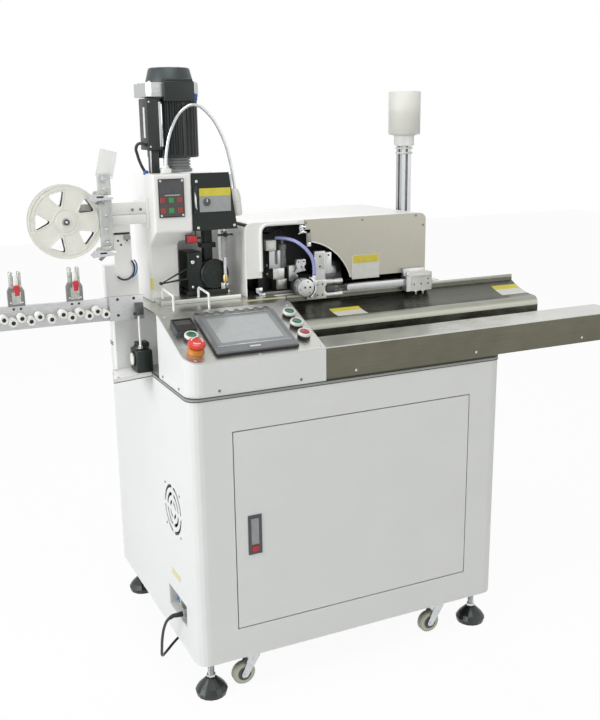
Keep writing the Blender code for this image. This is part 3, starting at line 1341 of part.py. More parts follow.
def make_swing_arm():
    """Arm that carries the wire end up and across, on a shaft along Y."""
    front, back = ARM_LAYER
    jaw = [(0.418, -0.0165), (0.522, -0.0165), (0.522, 0.000), (0.470, 0.000), (0.470, 0.014),
           (0.522, 0.014), (0.522, 0.0325), (0.418, 0.0325)]
    arm = plate("swing_arm", [jaw], front, back, "XZ", table, aluminium)
    hub_x, hub_z = SWING_X, SWING_Z
    weld(
        arm,
        block("arm_upright", (0.441, front + 0.002, 0.020), (0.491, back - 0.001, 0.106), table),
        rod("hub_disc", 0.0235, front - 0.018, front + 0.009, "Y", (hub_x, hub_z), table, sides=28),
        rod("swing_shaft", SWING_SHAFT, front + 0.004, 0.345, "Y", (hub_x, hub_z), table, sides=20),
        block("nozzle_block", (0.426, 0.2512, 0.021), (0.440, front + 0.0035, 0.036), table),
        rod("nozzle", 0.0055, 0.031, HOSE_END[2] - SEAT, "Z", (HOSE_END[0], HOSE_END[1]), table, sides=12))


HOSE_END = (0.433, 0.2575, 0.048)
HOSE_PATH = [
    (0.3525, 0.320, 0.1400), (0.3640, 0.3185, 0.1400), (0.377, 0.309, 0.1392),
    (0.393, 0.288, 0.134), (0.408, 0.272, 0.122),
    (0.420, 0.2605, 0.106), (0.4285, 0.2575, 0.090), (0.4325, 0.2575, 0.074),
    (0.433, 0.2575, 0.060), HOSE_END,
]


def make_hose():
    tube("guide_hose", smooth_path(HOSE_PATH, 0.009), HOSE_RADIUS, table, hose_plastic)


def make_delivery():
    """Bar along the trough and the gripper that slides on it."""
    rail = block("delivery_rail", (RAIL_BAR_LEFT, RAIL_BAR_FRONT, RAIL_BAR_BOTTOM),
                 (RAIL_BAR_RIGHT, RAIL_BAR_BACK, RAIL_BAR_TOP), table, aluminium)
    face = HOUSING_FRONT - SEAT - PANEL_SHEET - SEAT
    weld(rail, block("rail_bracket", (RAIL_BAR_RIGHT - 0.078, RAIL_BAR_BACK - 0.0005, RAIL_BAR_BOTTOM + 0.001),
                     (RAIL_BAR_RIGHT - 0.012, face, 0.040), table))
    left = RAIL_BAR_RIGHT - 0.084
    gripper = block("delivery_gripper", (left, 0.2545, -0.018),
                    (left + 0.080, RAIL_BAR_BACK - 0.001, 0.031), table, aluminium)
    pins = [rod("gripper_pin", 0.003, -0.036, -0.017, "Z", (x, 0.266), table, sides=12)
            for x in (left + 0.037, left + 0.059)]
    weld(gripper, *pins)
    carve(gripper, block("rail_slot", (left - 0.01, RAIL_BAR_FRONT - SEAT, RAIL_BAR_BOTTOM - SEAT),
                         (left + 0.09, RAIL_BAR_BACK + 0.01, RAIL_BAR_TOP + SEAT), table, guide=True))


def make_post():
    """Slotted aluminium post with the flux jar on top."""
    x = HOUSING_RIGHT + 2 * SEAT + POST_SIDE / 2
    half = POST_SIDE / 2
    mouth = 0.004
    depth = 0.008
    quarter = [(mouth, -half), (half, -half), (half, -mouth), (half - depth, -mouth),
               (half - depth, mouth), (half, mouth)]
    outline = []
    for turn in range(4):
        angle = math.radians(90 * turn)
        for u, v in quarter[:-1]:
            outline.append((u * math.cos(angle) - v * math.sin(angle),
                            u * math.sin(angle) + v * math.cos(angle)))
    outline = [(x + u, POST_Y + v) for u, v in outline]
    plate("flux_post", [outline], SEAT, POST_HEIGHT, "XY", table, aluminium)
    neck = POST_HEIGHT + SEAT
    floor = neck + 0.028
    wall = 0.002
    shade(turned(
        "flux_jar",
        [(0, floor + wall), (JAR_RADIUS - wall, floor + wall), (JAR_RADIUS - wall, JAR_TOP),
         (JAR_RADIUS, JAR_TOP), (JAR_RADIUS, floor), (0.028, floor), (0.028, neck), (0, neck)],
        (x, POST_Y, 0), table, clear_plastic, 24))


make_cabinet()
make_deck()
make_door()
make_latch()
make_fan()
make_control_gear()
make_inlet()
make_mains_lead()
make_casters()
make_foot_frame()
make_upper_body()
make_worktop()
make_screen()
make_meter()
make_buttons()
make_front_rail()
make_trough()
make_press()
make_press_cover()
make_keypad()
make_applicator()
make_ram()
make_oil_dropper()
make_motor()
make_lamp()
make_reel_arm()
make_reel()
make_tape_guide()
make_feed_panel()
make_feed_motor()
make_straightener()
make_clamp_levers()
make_table_handles()
make_housing()
make_housing_panel()
make_cutter_frame()
make_swing_arm()
make_hose()
make_delivery()
make_post()
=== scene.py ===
# %% [markdown]
# # Dressing an automatic terminal crimping machine
# The real machine cuts wire, strips it and presses a metal terminal on each end. It stands on a
# white sheet-metal cabinet. Its solids come from a CAD source and are loaded here as a fixed
# frame. This lesson gives each solid its real finish, and swaps the plain ones for pieces with
# the detail that a camera would see. All lengths are in metres.

# %% Load the CAD frame
import math

import bmesh
import bpy
from mathutils import Matrix, Vector


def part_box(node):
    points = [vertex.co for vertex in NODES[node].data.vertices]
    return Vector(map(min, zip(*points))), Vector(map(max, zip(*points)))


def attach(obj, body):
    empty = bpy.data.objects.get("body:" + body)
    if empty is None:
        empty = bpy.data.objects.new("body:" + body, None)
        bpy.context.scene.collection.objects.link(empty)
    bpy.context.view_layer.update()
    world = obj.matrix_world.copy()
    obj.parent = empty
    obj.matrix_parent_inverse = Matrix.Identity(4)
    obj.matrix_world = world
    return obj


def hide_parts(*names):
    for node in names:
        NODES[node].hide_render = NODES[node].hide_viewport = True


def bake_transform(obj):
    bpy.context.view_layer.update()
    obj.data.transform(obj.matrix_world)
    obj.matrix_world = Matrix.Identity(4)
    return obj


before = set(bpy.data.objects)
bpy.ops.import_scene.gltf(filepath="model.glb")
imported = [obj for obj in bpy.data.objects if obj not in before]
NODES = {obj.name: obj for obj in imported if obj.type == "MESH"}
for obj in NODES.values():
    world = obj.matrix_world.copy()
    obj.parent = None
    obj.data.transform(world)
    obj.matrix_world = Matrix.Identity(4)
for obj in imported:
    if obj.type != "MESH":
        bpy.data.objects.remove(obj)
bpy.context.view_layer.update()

# %% [markdown]
# ## Places on the machine
# A fitter measures each part from the surface it is bolted to. The same is done here: one
# matrix stands for the cabinet's lower front left corner, one for the steel deck, one for the
# worktop and one for the sloped console. The casters are measured from the frame itself. A
# piece is drawn in the millimetres of its own surface, and the matrix puts it in place.

# %% The mounting surfaces
MM = 0.001
WHOLE_FRAME = Matrix.Identity(4)
CORNER = Matrix.Translation((-0.417, -0.3305, 0.096))
DECK = CORNER @ Matrix.Translation((0, 0, 652.3 * MM))
TABLE = CORNER @ Matrix.Translation((0, 0, 806.3 * MM))
SLOPE_FOOT, SLOPE_TOP, SLOPE_RUN = 79, 154, 197
SLOPE_TILT = math.atan2(SLOPE_TOP - SLOPE_FOOT, SLOPE_RUN)
SLOPE = DECK @ Matrix.Translation((0, 0, SLOPE_FOOT * MM)) @ Matrix.Rotation(SLOPE_TILT, 4, "X")
print("console slope in degrees", round(math.degrees(SLOPE_TILT), 2))

# %% [markdown]
# ## The camera
# The photo is taken from the left, a little above the worktop. Its place was solved from the
# straight edges of the cabinet, so the same edges fall on the same pixels here. The small roll
# is that of a camera held by hand.

# %% Camera at the photo's place
CAMERA_PLACE = (-1.0240, -2.1666, 1.3224)
YAW, PITCH, ROLL = 0.444498991, 0.248694003, 0.012694238
LENS, SENSOR = 46.5, 36
NEAREST, FARTHEST = 0.05, 50


def aim_camera(place, yaw, pitch, roll):
    """A camera that looks along +Y when yaw is 0, and down when pitch is positive."""
    forward = Vector((math.sin(yaw) * math.cos(pitch), math.cos(yaw) * math.cos(pitch),
                      -math.sin(pitch)))
    right = Vector((math.cos(yaw), -math.sin(yaw), 0))
    down = forward.cross(right)
    right, down = (math.cos(roll) * right + math.sin(roll) * down,
                   math.cos(roll) * down - math.sin(roll) * right)
    camera = bpy.data.objects.new("camera", bpy.data.cameras.new("camera"))
    bpy.context.collection.objects.link(camera)
    camera.matrix_world = Matrix.Translation(place) @ Matrix(
        (right, -down, -forward)).transposed().to_4x4()
    camera.data.lens, camera.data.sensor_width = LENS, SENSOR
    camera.data.clip_start, camera.data.clip_end = NEAREST, FARTHEST
    bpy.context.scene.camera = camera


aim_camera(CAMERA_PLACE, YAW, PITCH, ROLL)
print("camera at", CAMERA_PLACE)

# %% [markdown]
# ## Helpers for meshes
# Sheet metal, castings and turned parts need only a few kinds of shape: a box with rounded
# edges, an outline that is given a thickness, a turned profile and a tube along a line. A piece
# is gathered from many of them into one mesh, because one object per bolt would be slow to
# handle.

# %% Shapes: rounded box, prism, ring, turned part, tube
AXES = {"xy": (0, 1, 2), "xz": (0, 2, 1), "yz": (1, 2, 0)}


def shaded(part, smooth=True):
    """Shades all faces of a part smooth or flat."""
    for face in part.faces:
        face.smooth = smooth
    return part


def soften(part, edges, width, steps):
    """Rounds some edges of a part."""
    bmesh.ops.bevel(part, geom=edges, offset=width, segments=steps, profile=0.5, affect="EDGES")


def bridge(part, one, two):
    """Faces between two rings of points; a ring of one point closes the end."""
    count = max(len(one), len(two))
    for i in range(count):
        j = (i + 1) % count
        if len(one) == 1:
            part.faces.new((one[0], two[i], two[j]))
        elif len(two) == 1:
            part.faces.new((one[i], one[j], two[0]))
        else:
            part.faces.new((one[i], one[j], two[j], two[i]))


def lay(part, outline, plane, level):
    """The points of an outline in a plane, at one level along the third axis."""
    points = []
    for a, b in outline:
        point = Vector((0, 0, 0))
        for axis, value in zip(AXES[plane], (a, b, level)):
            point[axis] = value
        points.append(part.verts.new(point))
    return points


def box(low, high, edge=0.0, steps=2):
    """A block between two corners, its edges rounded by edge millimetres."""
    part = bmesh.new()
    bmesh.ops.create_cube(part, size=1)
    size = [b - a for a, b in zip(low, high)]
    middle = [(a + b) / 2 for a, b in zip(low, high)]
    part.transform(Matrix.Translation(middle) @ Matrix.Diagonal((*size, 1)))
    if edge > 0:
        soften(part, part.edges[:], min(edge, min(size) * 0.45), steps)
    return shaded(part)


def prism(outline, low, high, plane="xz", edge=0.0, steps=2, flat=False):
    """An outline in a plane, given a thickness from low to high along the third axis."""
    part = bmesh.new()
    one, two = lay(part, outline, plane, low), lay(part, outline, plane, high)
    caps = [part.faces.new(one), part.faces.new(two[::-1])]
    bridge(part, one, two)
    bmesh.ops.recalc_face_normals(part, faces=part.faces[:])
    if edge > 0:
        soften(part, [e for cap in caps for e in cap.edges], edge, steps)
    return shaded(part, not flat)


def ring(outer, inner, low, high, plane="xy"):
    """The band between two outlines with equally many points, given a thickness."""
    part = bmesh.new()
    loops = [lay(part, outline, plane, level) for outline, level in (
        (outer, low), (outer, high), (inner, high), (inner, low))]
    for one, two in zip(loops, loops[1:] + loops[:1]):
        bridge(part, one, two)
    bmesh.ops.recalc_face_normals(part, faces=part.faces[:])
    return shaded(part)


def turned(profile, sides=32, axis="z", centre=(0, 0, 0)):
    """A lathe part. The profile is a list of (radius, height); radius 0 closes an end."""
    part = bmesh.new()
    rings = []
    for radius, height in profile:
        count = sides if radius > 0 else 1
        rings.append([part.verts.new((radius * math.cos(math.tau * i / sides),
                                      radius * math.sin(math.tau * i / sides), height))
                      for i in range(count)])
    for one, two in zip(rings, rings[1:]):
        bridge(part, one, two)
    bmesh.ops.recalc_face_normals(part, faces=part.faces[:])
    turn = {"z": Matrix.Identity(4), "x": Matrix.Rotation(math.pi / 2, 4, "Y"),
            "y": Matrix.Rotation(-math.pi / 2, 4, "X")}[axis]
    part.transform(Matrix.Translation(centre) @ turn)
    return shaded(part)


def disc(radius, low, high, edge=0.4, sides=32, axis="z", centre=(0, 0), bore=0.0):
    """A turned disc or ring with a small chamfer, between two heights along its axis."""
    profile = [(bore, low), (radius - edge, low), (radius, low + edge), (radius, high - edge),
               (radius - edge, high), (bore, high)]
    if bore > 0:
        profile.append((bore, low))
    a, b = centre
    return turned(profile, sides, axis, {"z": (a, b, 0), "x": (0, a, b), "y": (a, 0, b)}[axis])


def discs(spots, *size):
    """The same disc on many spots."""
    return [disc(*size, spot) for spot in spots]


def smooth_line(points, steps=6):
    """A Catmull-Rom line through the points."""
    points = [Vector(p) for p in points]
    ends = [points[0] * 2 - points[1]] + points + [points[-1] * 2 - points[-2]]
    line = []
    for a, b, c, d in zip(ends, ends[1:], ends[2:], ends[3:]):
        for i in range(steps):
            t = i / steps
            line.append(0.5 * ((2 * b) + (c - a) * t + (2 * a - 5 * b + 4 * c - d) * t * t
                               + (3 * b - a - 3 * c + d) * t * t * t))
    line.append(points[-1])
    return line


def tube(line, radius, sides=12):
    """A round tube along a line; radius is one number or one per point."""
    part = bmesh.new()
    line = [Vector(p) for p in line]
    radii = radius if isinstance(radius, list) else [radius] * len(line)
    side = (line[1] - line[0]).normalized().orthogonal().normalized()
    rings = []
    for i, point in enumerate(line):
        ahead = (line[min(i + 1, len(line) - 1)] - line[max(i - 1, 0)]).normalized()
        side = (side - ahead * side.dot(ahead)).normalized()
        up = ahead.cross(side)
        rings.append([part.verts.new(point + radii[i] * (math.cos(math.tau * k / sides) * side
                                                         + math.sin(math.tau * k / sides) * up))
                      for k in range(sides)])
    for one, two in zip(rings, rings[1:]):
        bridge(part, one, two)
    part.faces.new(rings[0][::-1])
    part.faces.new(rings[-1])
    return shaded(part)


def moved(part, place):
    """Moves a part by a matrix."""
    part.transform(place)
    return part


# %% Outlines and small standard parts


def polar(middle, radius, degrees):
    """The point at an angle on a circle."""
    return (middle[0] + radius * math.cos(math.radians(degrees)),
            middle[1] + radius * math.sin(math.radians(degrees)))


def arc(middle, radius, start, stop, steps=6):
    """Points on an arc in degrees."""
    return [polar(middle, radius, start + (stop - start) * i / steps) for i in range(steps + 1)]


def circle(middle, radius, count=32):
    return arc(middle, radius, 0, 360 - 360 / count, count - 1)


def hexagon(middle, radius):
    return circle(middle, radius, 6)


def rounded(low, high, radii, steps=4):
    """A rectangle with round corners: one radius, or four from the front left corner on."""
    if not isinstance(radii, tuple):
        radii = (radii,) * 4
    (x0, y0), (x1, y1) = low, high
    points = []
    for (x, y, a, b, start), radius in zip(((x0, y0, 1, 1, 180), (x1, y0, -1, 1, 270),
                                            (x1, y1, -1, -1, 0), (x0, y1, 1, -1, 90)), radii):
        points += arc((x + a * radius, y + b * radius), radius, start, start + 90, steps)
    return points


def ribs(first, count, pitch, rib):
    """Equal ribs of a turned part, upwards from the height of the first one."""
    return [(radius, first + i * pitch + rise) for i in range(count) for radius, rise in rib]


def screw_head(radius, place, axis="z", height=1.6, socket=True):
    """A cheese head with a round edge and a hexagon socket, at a place, looking along -axis."""
    profile = [(radius, 0), (radius, height * 0.7), (radius * 0.85, height)]
    if socket:
        profile += [(radius * 0.5, height), (radius * 0.45, height * 0.35), (0, height * 0.3)]
    else:
        profile.append((0, height * 1.1))
    turn = {"z": Matrix.Identity(4), "-x": Matrix.Rotation(-math.pi / 2, 4, "Y"),
            "-y": Matrix.Rotation(math.pi / 2, 4, "X")}[axis]
    return moved(turned(profile, 16), Matrix.Translation(place) @ turn)


def screws(spots, radius, axis="z", height=1.6, socket=True):
    """The same screw head on many spots."""
    return [screw_head(radius, spot, axis, height, socket) for spot in spots]


# %% Making an object from its parts
CREASE = 35


def new_object(name, whole, finishes):
    """Turns a bmesh into an object with its finishes."""
    mesh = bpy.data.meshes.new(name)
    whole.to_mesh(mesh)
    whole.free()
    for finish in finishes:
        mesh.materials.append(finish)
    made = bpy.data.objects.new(name, mesh)
    bpy.context.collection.objects.link(made)
    return made


def place_piece(name, surface, finishes, body="machine", replaces=None):
    """Gathers the parts of each finish, moves them to their surface and lets the piece ride."""
    whole = bmesh.new()
    for slot, parts in enumerate(finishes.values()):
        for part in parts:
            made = {vert: whole.verts.new(vert.co) for vert in part.verts}
            for face in part.faces:
                new = whole.faces.new([made[v] for v in face.verts])
                new.material_index, new.smooth = slot, face.smooth
            part.free()
    whole.transform(surface @ Matrix.Diagonal((MM, MM, MM, 1)))
    bmesh.ops.recalc_face_normals(whole, faces=whole.faces[:])
    piece = new_object(name, whole, finishes)
    piece.data.set_sharp_from_angle(angle=math.radians(CREASE))
    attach(piece, body)
    if replaces:
        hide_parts(replaces)
    return piece


# %% [markdown]
# ## Helpers for finishes
# Colours are written as they would be on a paint chart, in sRGB hex. Blender's shaders count
# in linear light, so one function converts them. A second one adds a node with its values and
# its links. A finish is then put together from noise, a tint, a polish and a relief.

# %% Colour and node helpers


def linear(chart):
    """An sRGB hex colour as linear red, green, blue and alpha."""
    values = [int(chart[i:i + 2], 16) / 255 for i in (1, 3, 5)]
    return (*[v / 12.92 if v <= 0.04045 else ((v + 0.055) / 1.055) ** 2.4 for v in values], 1.0)


def add_node(tree, kind, values=None, links=None, **settings):
    """Adds one node with its settings, its socket values and the outputs linked to it."""
    made = tree.nodes.new(kind)
    for name, value in settings.items():
        setattr(made, name, value)
    for name, value in (values or {}).items():
        made.inputs[name].default_value = value
    for name, output in (links or {}).items():
        tree.links.new(output, made.inputs[name])
    return made


class Finish:
    """A material in the making: its Principled shader, and patterns in object metres."""

    def __init__(self, name, chart, metallic=0.0, roughness=0.5, **extra):
        self.material = bpy.data.materials.new(name)
        self.material.use_nodes = True
        self.tree = self.material.node_tree
        self.shader = self.tree.nodes["Principled BSDF"]
        values = {"Base Color": linear(chart), "Metallic": metallic, "Roughness": roughness}
        for socket, value in {**values, **extra}.items():
            self.shader.inputs[socket.replace("_", " ")].default_value = value
        self.where = add_node(self.tree, "ShaderNodeTexCoord").outputs["Object"]

    def noise(self, scale, detail, roughness=0.5, where=None):
        """A soft noise with scale cells in a metre."""
        return add_node(self.tree, "ShaderNodeTexNoise",
                        {"Scale": scale, "Detail": detail, "Roughness": roughness},
                        {"Vector": where or self.where}).outputs["Fac"]

    def rows(self, detail, along, long_mm, wide_mm, roughness=0.5):
        """A noise drawn out along one axis, as a tool or a brush leaves it."""
        cells = [1 / (wide_mm * MM)] * 3
        cells["xyz".index(along)] = 1 / (long_mm * MM)
        where = add_node(self.tree, "ShaderNodeMapping", {"Scale": cells}, {"Vector": self.where})
        return self.noise(1.0, detail, roughness, where.outputs["Vector"])

    def tint(self, pattern, dark, light, low, high):
        """Colours the shader between two charts as the pattern goes from low to high."""
        ramp = add_node(self.tree, "ShaderNodeValToRGB", links={"Fac": pattern})
        for stop, place, chart in zip(ramp.color_ramp.elements, (low, high), (dark, light)):
            stop.position, stop.color = place, linear(chart)
        self.tree.links.new(ramp.outputs["Color"], self.shader.inputs["Base Color"])

    def polish(self, pattern, smooth, rough):
        """Varies the roughness between two values with the pattern."""
        span = add_node(self.tree, "ShaderNodeMapRange",
                        {"From Min": 0.3, "From Max": 0.7, "To Min": smooth, "To Max": rough},
                        {"Value": pattern})
        self.tree.links.new(span.outputs["Result"], self.shader.inputs["Roughness"])

    def relief(self, pattern, height_mm, strength):
        """Raises the surface by height_mm where the pattern is 1. Returns the material."""
        bump = add_node(self.tree, "ShaderNodeBump",
                        {"Distance": height_mm * MM, "Strength": strength}, {"Height": pattern})
        self.tree.links.new(bump.outputs["Normal"], self.shader.inputs["Normal"])
        return self.material


print("white paint in linear light", [round(v, 3) for v in linear("#E4E3DF")])

# %% [markdown]
# ## Powder-coated steel
# The cabinet, door, console, press frame and housing are steel sheet and castings with a
# polyester powder coat. Powder that melts leaves a faint orange peel, about 1.5 mm from crest
# to crest. It is drawn as a soft noise in the relief. Handling adds patches that are a little
# duller, drawn as a large noise in the roughness.

# %% Powder coats
ORANGE_PEEL = 1.5


def powder_coat(name, chart, worn, roughness=0.42):
    coat = Finish(name, chart, 0.0, roughness, IOR=1.5)
    patches = coat.noise(9.0, 4.0)
    coat.tint(patches, worn, chart, 0.25, 0.70)
    coat.polish(patches, roughness - 0.02, roughness + 0.03)
    return coat.relief(coat.noise(1 / (ORANGE_PEEL * MM), 1.0), 0.02, 0.6)


WHITE_CABINET = powder_coat("powder_coat_white", "#E2E3E1", "#DFE0DE")
WHITE_CASTING = powder_coat("powder_coat_white_casting", "#F1F1EE", "#EDEDEA", 0.38)
GREY_DECK = powder_coat("powder_coat_grey", "#9B9E98", "#969993", 0.5)
# a dark coat: it paints the shadow lines at the deck's edges and the shade inside the housing, and
# colours two dark blocks of the cutting head
DARK_COAT_AND_SHADE = powder_coat("powder_coat_dark_and_painted_shade", "#3E403C", "#3A3C38", 0.5)
print("powder coats", WHITE_CABINET.name, WHITE_CASTING.name, GREY_DECK.name)

# %% [markdown]
# ## Brushed stainless steel
# The worktop, the long front rail and the trough are stainless sheet, brushed along their
# length, and the housing's panel is brushed upright. A brush line is about 0.1 mm wide, which
# would vanish at this distance, so the lines are drawn 0.9 mm wide and 120 mm long. Hands leave
# smudges that dull the sheet, so a larger noise goes into the roughness and the colour.

# %% Brushed stainless steel
LINE_LONG = 120
LINE_SHARE, SMUDGE_SHARE = 0.55, 0.45


def brushed_stainless(name, chart, dull, along="x", roughness=0.3, line_mm=0.9):
    sheet = Finish(name, chart, 1.0, roughness)
    lines = sheet.rows(3.0, along, LINE_LONG, line_mm, 0.6)
    smudge = sheet.noise(14.0, 5.0, 0.62)
    share = add_node(sheet.tree, "ShaderNodeMath", {1: LINE_SHARE}, {0: lines},
                     operation="MULTIPLY").outputs[0]
    total = add_node(sheet.tree, "ShaderNodeMath", {1: SMUDGE_SHARE}, {0: smudge, 2: share},
                     operation="MULTIPLY_ADD").outputs[0]
    sheet.tint(total, dull, chart, 0.34, 0.62)
    sheet.polish(total, roughness - 0.08, roughness + 0.12)
    return sheet.relief(lines, 0.03, 0.5)


STAINLESS_TOP = brushed_stainless("stainless_worktop", "#D3D4CF", "#BFC0BA", "x", 0.30)
# the rail's front: the same brushed stainless as its top, painted darker as shade
STAINLESS_RAIL_SHADED = brushed_stainless("stainless_rail_painted_shade", "#6F6E60", "#626154", "x", 0.36)
STAINLESS_LIP = brushed_stainless("stainless_lip", "#A5A69C", "#96978C", "x", 0.34)
# the trough: the same stainless, painted darker as the dark reflections in its curved sheet
STAINLESS_TROUGH_DARK_REFLECTION = brushed_stainless("stainless_trough_painted_reflection", "#6E6F67", "#57584F", "x", 0.28, 1.4)
STAINLESS_PANEL = brushed_stainless("stainless_panel", "#A9A79C", "#A19F94", "z", 0.34)
print("stainless sheets", STAINLESS_TOP.name, STAINLESS_RAIL_SHADED.name, STAINLESS_TROUGH_DARK_REFLECTION.name)

# %% [markdown]
# ## Milled and plated metals
# The straightener's bar, the clamps, the slides and the gripper are aluminium blocks, milled
# and then anodised clear. The cutter leaves fine rows, drawn 0.7 mm apart. The oxide layer
# takes the glare off, so the roughness is higher than on bare metal. Zinc plate is different:
# its crystals show as soft patches some 4 mm wide, a little yellow and a little blue.

# %% Milled, turned and zinc-plated metals
ROW_LONG = 14
CRYSTAL, CLOUD = 4, 9


def milled_metal(name, chart, shade, along="x", roughness=0.34, row_mm=0.7):
    metal = Finish(name, chart, 1.0, roughness)
    rows = metal.rows(2.0, along, ROW_LONG, row_mm)
    metal.tint(rows, shade, chart, 0.30, 0.62)
    metal.polish(rows, roughness - 0.05, roughness + 0.10)
    return metal.relief(rows, 0.02, 0.5)


def zinc_plate(name, chart, shade, roughness):
    plate = Finish(name, chart, 1.0, roughness)
    crystals = add_node(plate.tree, "ShaderNodeTexVoronoi", {"Scale": 1 / (CRYSTAL * MM)},
                        {"Vector": plate.where})
    cloud = plate.noise(1 / (CLOUD * MM), 3.0)
    plate.tint(cloud, shade, chart, 0.35, 0.65)
    plate.polish(crystals.outputs["Distance"], roughness - 0.05, roughness + 0.12)
    return plate.relief(cloud, 0.02, 0.4)


MILLED_ALUMINIUM = milled_metal("aluminium_milled", "#C9CACA", "#B1B3B4")
MILLED_UPRIGHT = milled_metal("aluminium_milled_upright", "#C4C6C7", "#A8ABAD", "z")
DARK_MILLED = milled_metal("steel_milled", "#8D8C8A", "#6E6D6B", "x", 0.32)
TURNED_STEEL = milled_metal("steel_turned", "#B9B9B7", "#8E8E8C", "z", 0.2, 0.5)
CHROME = milled_metal("chrome_plate", "#D2D4D6", "#BFC2C5", "z", 0.1, 2.0)
BRASS = milled_metal("brass_turned", "#C9B27C", "#A89462", "z", 0.28, 0.5)
ZINC = zinc_plate("zinc_plated_steel", "#C3C6C5", "#A6A79C", 0.3)
print("bare and plated metals", MILLED_ALUMINIUM.name, ZINC.name, BRASS.name)

# %% [markdown]
# ## Blackened steel and enamel
# The press cover, the ram and the applicator are steel with a black oxide, rubbed with oil. It
# is dark green-grey, not pure black, and wears to a paler tone on touched spots. A noise of
# 6 mm patches mixes that tone in, and makes it shinier there. The motors are castings with an
# enamel of nearly the same black, and the fan cowl's enamel is grey.

# %% Blackened steel, black and grey enamel
WORN_PATCH = 6


def blackened(name, chart, worn, roughness, metallic):
    steel = Finish(name, chart, metallic, roughness)
    wear = steel.noise(1 / (WORN_PATCH * MM), 6.0, 0.7)
    steel.tint(wear, chart, worn, 0.55, 0.85)
    steel.polish(wear, roughness + 0.05, roughness - 0.04)
    return steel.relief(wear, 0.01, 0.3)


BLACK_STEEL = blackened("black_oxide_steel", "#171F1B", "#202824", 0.45, 0.3)
BLACK_APPLICATOR = blackened("black_oxide_applicator", "#161D19", "#252D28", 0.36, 0.35)
BLACK_ENAMEL = blackened("black_enamel_casting", "#111B19", "#18221F", 0.36, 0.0)
GREY_ENAMEL = blackened("grey_enamel_cover", "#333C3D", "#3A4344", 0.40, 0.0)
print("black finishes", BLACK_STEEL.name, BLACK_APPLICATOR.name, BLACK_ENAMEL.name)

# %% [markdown]
# ## Moulded plastics and rubber
# Housings, caps and grips are injection-moulded ABS or nylon. The mould is spark-eroded and
# leaves a grain of about 0.5 mm, drawn as a fine noise in the relief. Rubber is duller and
# holds dust, drawn as pale specks.

# %% Moulded plastics and rubber
DUST_SPECK = 1.2


def moulded(name, chart, shade, roughness=0.42, grain_mm=0.5, grain=0.5, **extra):
    plastic = Finish(name, chart, 0.0, roughness, IOR=1.53, **extra)
    flow = plastic.noise(60.0, 3.0)
    plastic.tint(flow, shade, chart, 0.35, 0.6)
    plastic.polish(flow, roughness - 0.05, roughness + 0.07)
    return plastic.relief(plastic.noise(1 / (grain_mm * MM), 1.0), 0.015, grain)


BLACK_PLASTIC = moulded("nylon_black", "#202123", "#191A1B", 0.45)
DARK_PLASTIC = moulded("abs_dark_grey", "#4A4D50", "#424548", 0.4)
SCREEN_HOUSING = moulded("abs_screen_grey", "#77797C", "#727477", 0.36)
GREY_PLASTIC = moulded("abs_grey", "#9A9C9C", "#8F9191", 0.42)
PALE_PLASTIC = moulded("abs_pale", "#DCDCD8", "#D2D2CD", 0.4)
WHITE_PLASTIC = moulded("abs_white", "#ECEBE7", "#E2E1DC", 0.34)
REEL_PLASTIC = moulded("polystyrene_reel", "#E9E8DF", "#E6E5DC", 0.34)
GREEN_CAP = moulded("pmma_green", "#1C7350", "#165E42", 0.22, 0.9, 0.3, Coat_Weight=0.5)
STOP_RED = moulded("abs_stop_red", "#DD3A30", "#D4332A", 0.28, Coat_Weight=0.3)
RED_CAP = moulded("pmma_red", "#A8202F", "#8E1826", 0.22, 0.9, 0.3, Coat_Weight=0.5)
RED_SWITCH = moulded("nylon_red", "#C5242B", "#A91C22", 0.36)
FOOT_RUBBER = moulded("rubber_foot", "#1F2925", "#19221F", 0.3)
RED_GRIP = moulded("vinyl_red", "#C9313A", "#B0262E", 0.3)
YELLOW_COLLAR = moulded("abs_yellow", "#D98A28", "#C97C1E", 0.36)
YELLOW_PLATE = moulded("vinyl_yellow", "#D9CB48", "#D3C440", 0.42)
YELLOW_PALE = moulded("vinyl_pale_yellow", "#D6CF9C", "#CEC792", 0.45)
BARE_PLATE = moulded("vinyl_pale_grey", "#DEDED8", "#D8D8D2", 0.45)
GREY_PLATE = moulded("anodised_grey_plate", "#A3A5A6", "#9A9C9E", 0.4)
KEY_RED = moulded("membrane_red", "#A23A34", "#96322D", 0.4)
KEY_GREEN = moulded("membrane_green", "#3E9450", "#378647", 0.4)
KEYPAD_DARK = moulded("membrane_dark", "#4B4645", "#454040", 0.4)
GREEN_DISPLAY = moulded("display_green", "#4E8F62", "#427E55", 0.3)
# smoked window of the counter; the same dark is used for discs painted as the shade inside holes
SMOKED_WINDOW_AND_HOLE_SHADE = moulded("smoked_pmma_and_painted_hole_shade", "#16191A", "#101213", 0.12, 1.5, 0.1, Coat_Weight=0.6)
BLUE_PLASTIC = moulded("nylon_blue", "#2B5FA8", "#234F8E", 0.4)


def rubber(name, chart, dust, roughness=0.72):
    jacket = Finish(name, chart, 0.0, roughness, IOR=1.52)
    specks = jacket.noise(1 / (DUST_SPECK * MM), 5.0, 0.75)
    jacket.tint(specks, chart, dust, 0.55, 0.8)
    return jacket.relief(specks, 0.03, 0.5)


BLACK_RUBBER = rubber("rubber_black", "#1E1E1F", "#3A3A3A")
GREY_TYRE = rubber("polyurethane_cream", "#C3C5B2", "#B4B6A4", 0.5)
CABLE_JACKET = rubber("pvc_cable_black", "#222326", "#34363A", 0.5)
print("plastics and rubbers", BLACK_PLASTIC.name, GREY_TYRE.name)

# %% [markdown]
# ## Clear parts
# The jar, the tape guide, a smoky cover and the air hose are clear plastic. Light passes
# through, so their look comes from transmission and a smooth surface, with faint flow waves
# from the mould. The flux and the touch screen's glass are opaque, and are made as mouldings.

# %% Clear plastics
FLOW_WAVE = 8


